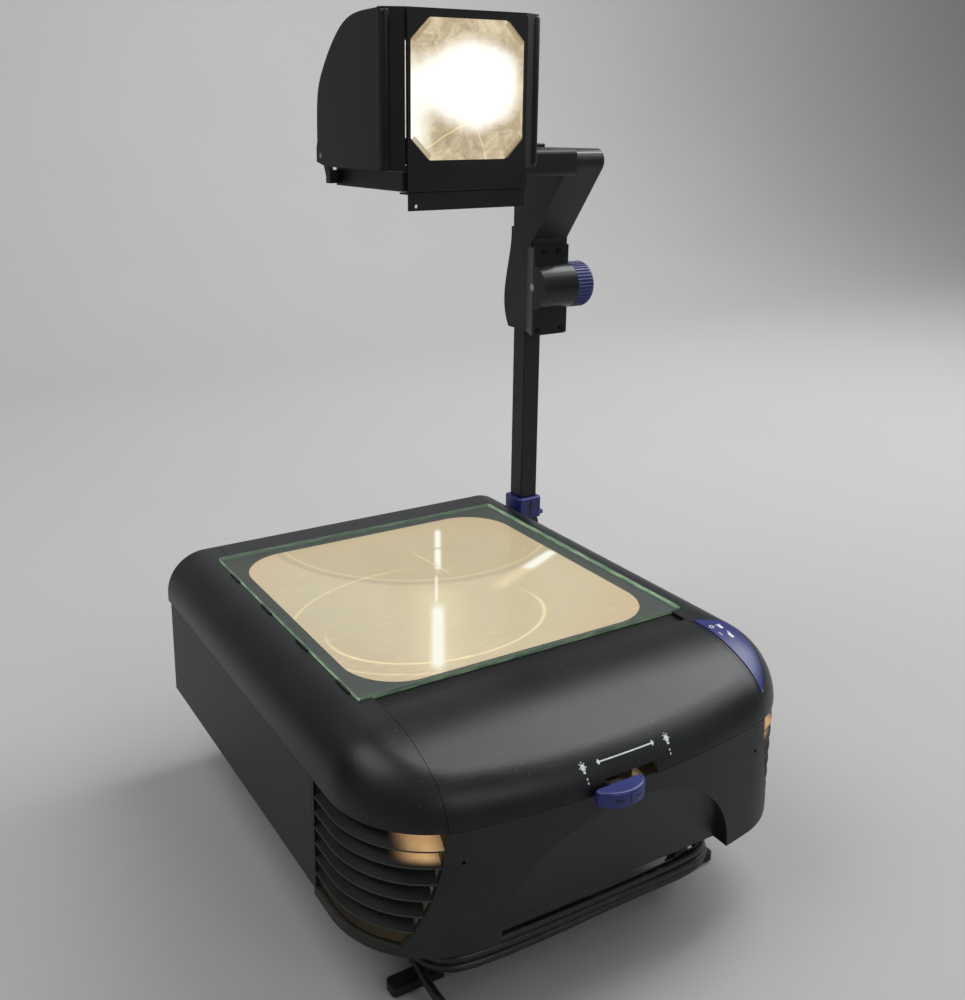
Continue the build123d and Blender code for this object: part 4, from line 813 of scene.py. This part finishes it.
class PROJECTOR_OT_cord(Operator):
    """Lays the mains lead from its gland, round the front feet and out to its plug"""

    bl_idname = "projector.cord"
    bl_label = "Mains Lead"

    def execute(self, context):
        sizes = context.scene.projector_sizes
        points = [place(point) for point in LEAD_ROUTE]
        points += self.winding_points(sizes.cord_turns)
        points += [place(point) for point in TAIL_ROUTE]
        curve = bpy.data.curves.new("mains_lead", "CURVE")
        curve.dimensions = "3D"
        spline = curve.splines.new("NURBS")
        spline.points.add(len(points) - 1)
        for control, point in zip(spline.points, points):
            control.co = (*point, 1.0)
        spline.order_u = 3
        spline.use_endpoint_u = True
        spline.resolution_u = 10
        curve.bevel_depth = sizes.cord_diameter / 2
        curve.bevel_resolution = 5
        curve.use_fill_caps = True
        lead = bpy.data.objects.new("mains_lead", curve)
        context.scene.collection.objects.link(lead)
        curve.materials.append(cord_sheath())
        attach(lead, "base")
        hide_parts("cord_lead", "cord_winding", "cord_tail")
        return {"FINISHED"}

    @staticmethod
    def winding_points(turns):
        """Control points of the turns round the two front legs, from the rear run to the left end."""
        low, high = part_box("cord_winding")
        middle = (low + high) / 2
        end_x = (high.x - low.x) / 2 - WINDING_REACH
        top = LEAD_ROUTE[-1][2]
        drop = top - TAIL_ROUTE[0][2]
        lap = [(x * end_x, 90) for x in (1 / 3, -1 / 3, -1.0)]
        lap += [(-end_x, angle) for angle in (135, 180, 225)]
        lap += [(x * end_x, 270) for x in (-1.0, -1 / 3, 1 / 3, 1.0)]
        lap += [(end_x, angle) for angle in (315, 0, 45)]
        lap += [(end_x, 90)]
        count = turns * len(lap) + 5
        found = []
        for step in range(1, count):
            x, angle = lap[step % len(lap)]
            share = step / count
            swing = 0.5 + 0.5 * cos(pi * step / len(lap))
            radius = 0.0298 + 0.0030 * swing
            if angle % 180 != 90:
                radius *= 1.055
            wander = 0.0012 * sin(2.3 * step)
            found.append(
                Vector(
                    (
                        middle.x + x + radius * cos(radians(angle)),
                        middle.y + radius * sin(radians(angle)),
                        top - drop * share + wander,
                    )
                )
            )
        return found


class PROJECTOR_OT_finishes(Operator):
    """Gives every carried-over piece its finish"""

    bl_idname = "projector.finishes"
    bl_label = "Finishes"

    def execute(self, context):
        colours = context.scene.projector_colours
        top = moulded_plastic("top_shell_plastic", tuple(colours.top_shell), 0.36, 1.0, 0.35)
        lower = moulded_plastic("lower_shell_plastic", tuple(colours.lower_shell), 0.48, 1.0, 0.25)
        head = moulded_plastic("head_plastic", tuple(colours.head_shell), 0.46, 0.8, 0.3)
        arm = moulded_plastic("arm_plastic", tuple(colours.arm_shell), 0.42, 0.7, 0.25)
        cover = moulded_plastic("drive_cover_plastic", (0.0045, 0.006, 0.0075), 0.27, 0.3, 0.15)
        black = moulded_plastic("black_plastic", (0.0035, 0.0035, 0.004), 0.45, 0.6, 0.2)
        steel = brushed_metal("plated_steel", (0.50, 0.50, 0.50), 0.30)
        dark_steel = brushed_metal("blackened_steel", (0.03, 0.03, 0.032), 0.38)
        dress(top, "left_top_rail", "right_top_rail", "front_cover", "rear_cover")
        dress(lower, "left_side_panel", "right_side_panel", "rear_panel", "front_bezel")
        dress(louvre_plastic((0.0022, 0.0024, 0.0028)), "left_vent_louvres", "right_vent_louvres")
        dress(lower, "base_tray", "feet")
        dress(head, "hood", "window_frame", "lens_frame", "glare_flap")
        dress(arm, "arm_casting", "mast_bracket")
        dress(cover, "drive_cover")
        dress(black, "stage_frame", "mast_cap", "slide_bushes", "lamp_carriage", "lamp_sockets")
        dress(black, "power_switch", "fan_housing", "fan_impeller", "terminal_block")
        dress(blue_plastic(tuple(colours.accent)), "focus_knob", "lock_collar", "power_rocker", "lamp_slider")
        dress(painted_tube((0.0035, 0.0045, 0.0055)), "mast_tube")
        dress(steel, "cover_hinge_pins", "mast_pivot_pin", "hood_pins", "knob_shaft", "lamp_bracket")
        dress(steel, "fold_mirror_bracket", "window_clips", "transformer")
        dress(dark_steel, "casing_screws", "drive_cover_screws")
        dress(rubber("foot_rubber", (0.016, 0.016, 0.016)), "foot_pads", "idler_wheel", "cord_gland")
        dress(rubber("plug_rubber", (0.013, 0.013, 0.014)), "plug", "cord_lead", "cord_tail", "cord_winding")
        dress(stage_sheet(), "stage_glass")
        dress(stage_card(), "stage_mask")
        dress(lit_lens(), "fresnel_lens")
        dress(lit_window(), "window_glass")
        dress(lit_optic(), "objective_lens", "condenser_lens")
        dress(silvered(), "fold_mirror", "head_mirror")
        dress(brushed_metal("spun_reflector", (0.80, 0.76, 0.68), 0.12), "reflector")
        dress(lamp_quartz(), "lamps")
        return {"FINISHED"}


class PROJECTOR_OT_cover_marks(Operator):
    """Prints the lamp signs, the sliding arrow and the position dashes on the front cover"""

    bl_idname = "projector.cover_marks"
    bl_label = "Cover Marks"

    def execute(self, context):
        pieces = [self.strip(-0.0240, 0.0240, 0.18835, 0.00075)]
        for end in (-0.0247, 0.0247):
            pieces.append(self.spot(end, 0.18835, 0.0016, 4))
        for side in (-0.0382, 0.0382):
            pieces += self.lamp_sign(side, 0.1879)
            for dash_z in (0.1815, 0.1790):
                pieces.append(self.strip(side * 0.985 - 0.0005, side * 0.985 + 0.0005, dash_z, 0.0014))
        marks = join(pieces)
        print_onto(marks, "front_cover", "y")
        settle(marks, "cover_marks", printed("white_print", (0.72, 0.74, 0.74)), "cover")
        return {"FINISHED"}

    @staticmethod
    def strip(low_x, high_x, z, height):
        """A flat upright strip in front of the cover."""
        return new_sheet(((low_x + high_x) / 2, AHEAD_OF_COVER, z), high_x - low_x, height, True, 7)

    @staticmethod
    def spot(x, z, radius, sides=12):
        """A flat disc in front of the cover."""
        start_clean()
        bpy.ops.mesh.primitive_circle_add(
            vertices=sides, radius=radius, fill_type="TRIFAN", location=place((x, AHEAD_OF_COVER, z)),
            rotation=(radians(90), 0, 0),
        )
        piece = bpy.context.object
        cut_finely(piece, 1)
        return piece

    def lamp_sign(self, x, z):
        """A small lamp: a round glass, its cap and rays round it."""
        pieces = [self.spot(x, z, 0.0019, 16), self.strip(x - 0.0010, x + 0.0010, z - 0.0026, 0.0012)]
        for angle in (0, 45, 90, 135, 180):
            reach = 0.0027
            ray_x, ray_z = x + reach * cos(radians(angle)), z + reach * sin(radians(angle))
            pieces.append(self.spot(ray_x, ray_z, 0.00042, 6))
        return pieces


class PROJECTOR_OT_control_marks(Operator):
    """Marks the rocker's two ends, the slider's two ways and the collar's lifting arrow"""

    bl_idname = "projector.control_marks"
    bl_label = "Control Marks"

    def execute(self, context):
        ring = self.flat_ring((0.1535, -0.1900), 0.0022, 0.0014)
        bar = self.flat_bar((0.1530, -0.2010), 0.0008, 0.0046)
        lamp = self.flat_bar((0.1605, -0.1930), 0.0030, 0.0048)
        lamp_cap = self.flat_bar((0.1605, -0.1898), 0.0052, 0.0009)
        hand = self.flat_bar((0.1600, -0.2055), 0.0028, 0.0056)
        finger = self.flat_bar((0.1612, -0.2014), 0.0012, 0.0030)
        signs = join([ring, bar, lamp, lamp_cap, hand, finger])
        print_onto(signs, "power_rocker", "z")
        settle(signs, "rocker_marks", printed("rocker_print", (0.80, 0.82, 0.84)), "rocker")
        self.collar_arrow()
        self.slider_marks()
        return {"FINISHED"}

    @staticmethod
    def flat_ring(spot, outer, inner):
        """A flat ring above the rocker."""
        start_clean()
        bpy.ops.mesh.primitive_circle_add(
            vertices=24, radius=outer, fill_type="NGON", location=place((*spot, ABOVE_ROCKER))
        )
        piece = bpy.context.object
        bpy.ops.object.mode_set(mode="EDIT")
        bpy.ops.mesh.select_all(action="SELECT")
        bpy.ops.mesh.inset(thickness=outer - inner, depth=0)
        bpy.ops.mesh.delete(type="FACE")
        bpy.ops.object.mode_set(mode="OBJECT")
        cut_finely(piece, 1)
        return piece

    @staticmethod
    def flat_bar(spot, width, length):
        """A flat bar above the rocker."""
        return new_sheet((*spot, ABOVE_ROCKER), width, length, False, 4)

    @staticmethod
    def collar_arrow():
        """The dark arrow on the collar's front face that points the way it lifts."""
        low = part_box("lock_collar")[0]
        face_y = low.y - STAGE.y - 0.0001
        base = low.z + 0.0025
        shaft = new_box((COLLAR_X - 0.0013, face_y, base), (COLLAR_X + 0.0013, face_y + 0.001, base + 0.0125))
        start_clean()
        bpy.ops.mesh.primitive_cylinder_add(
            vertices=3, radius=0.0042, depth=0.001,
            location=place((COLLAR_X, face_y + 0.0005, base + 0.0143)), rotation=(radians(90), 0, 0),
        )
        head = bpy.context.object
        arrow = join([shaft, head])
        settle(arrow, "collar_arrow", printed("sunk_black", (0.004, 0.004, 0.006)), "collar")

    @staticmethod
    def slider_marks():
        """The dark two-way arrow and centre line on the slider's face."""
        pieces = []
        for x, width, height in ((0.0, 0.0012, 0.0062), (-0.0075, 0.0050, 0.0011), (0.0075, 0.0050, 0.0011)):
            pieces.append(new_sheet((SLIDER_X + x, AHEAD_OF_COVER, SLIDER_MARK_Z), width, height, True, 3))
        for x, turn in ((-0.0108, 90), (0.0108, -90)):
            start_clean()
            bpy.ops.mesh.primitive_circle_add(
                vertices=3, radius=0.0019, fill_type="TRIFAN",
                location=place((SLIDER_X + x, AHEAD_OF_COVER, SLIDER_MARK_Z)),
                rotation=(radians(90), radians(turn), 0),
            )
            piece = bpy.context.object
            cut_finely(piece, 1)
            pieces.append(piece)
        marks = join(pieces)
        print_onto(marks, "lamp_slider", "y")
        ink = printed("slider_ink", (0.006, 0.006, 0.012))
        settle(marks, "slider_marks", ink, "lamp_changer")


class PROJECTOR_OT_head_details(Operator):
    """Adds the rolled beads of the hood's cheeks and the clear corner clips of its window"""

    bl_idname = "projector.head_details"
    bl_label = "Head Details"

    def execute(self, context):
        colour = tuple(context.scene.projector_colours.head_shell)
        black = moulded_plastic("bead_plastic", colour, 0.36, 0.6, 0.2)
        low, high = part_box("hood")
        low, high = low - STAGE, high - STAGE
        for name, side in (("left_cheek_bead", -1), ("right_cheek_bead", 1)):
            edge_x = low.x + 0.0045 if side < 0 else high.x - 0.0045
            bead = new_disc((edge_x, BEAD_Y, (low.z + high.z) / 2), 0.0042, high.z - low.z - 0.002, "Z", 28)
            round_edges(bead, 0.0028, 4)
            settle(bead, name, black, "hood")
        clear = clear_clip()
        low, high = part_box("window_glass")
        low, high = low - STAGE, high - STAGE
        front_y = low.y - 0.0012
        for index, (x, z) in enumerate(((high.x, high.z), (high.x, low.z), (low.x, low.z), (low.x, high.z))):
            inward_x = -1 if x > 0 else 1
            inward_z = -1 if z > 0.65 else 1
            start_clean()
            bpy.ops.mesh.primitive_cube_add(
                size=1.0, location=place((x + inward_x * 0.0105, front_y, z + inward_z * 0.0105)),
                rotation=(0, radians(45) * inward_x * inward_z, 0),
            )
            clip = sized(bpy.context.object, (0.0215, 0.0016, 0.0042))
            bpy.ops.object.transform_apply(location=False, rotation=True, scale=True)
            round_edges(clip, 0.0005, 2)
            settle(clip, f"corner_clip_{index + 1}", clear, "hood")
        return {"FINISHED"}


class PROJECTOR_PT_panel(Panel):
    bl_label = "Overhead Projector"
    bl_idname = "PROJECTOR_PT_panel"
    bl_space_type = "VIEW_3D"
    bl_region_type = "UI"
    bl_category = "Projector"

    def draw(self, context):
        for group in (context.scene.projector_sizes, context.scene.projector_colours):
            for name in group.bl_rna.properties.keys():
                if name not in ("name", "rna_type"):
                    self.layout.prop(group, name)
        for operator in OPERATORS:
            self.layout.operator(operator.bl_idname)


OPERATORS = (
    PROJECTOR_OT_camera,
    PROJECTOR_OT_cord,
    PROJECTOR_OT_stage,
    PROJECTOR_OT_finishes,
    PROJECTOR_OT_cover_marks,
    PROJECTOR_OT_control_marks,
    PROJECTOR_OT_head_details,
)
CLASSES = (ProjectorSizes, ProjectorColours, *OPERATORS, PROJECTOR_PT_panel)


def register():
    for cls in CLASSES:
        bpy.utils.register_class(cls)
    bpy.types.Scene.projector_sizes = PointerProperty(type=ProjectorSizes)
    bpy.types.Scene.projector_colours = PointerProperty(type=ProjectorColours)


def unregister():
    del bpy.types.Scene.projector_colours
    del bpy.types.Scene.projector_sizes
    for cls in reversed(CLASSES):
        bpy.utils.unregister_class(cls)


def main():
    register()
    bpy.ops.projector.camera()
    bpy.ops.projector.cord()
    bpy.ops.projector.stage()
    bpy.ops.projector.finishes()
    bpy.ops.projector.cover_marks()
    bpy.ops.projector.control_marks()
    bpy.ops.projector.head_details()


if __name__ == "__main__":
    main()
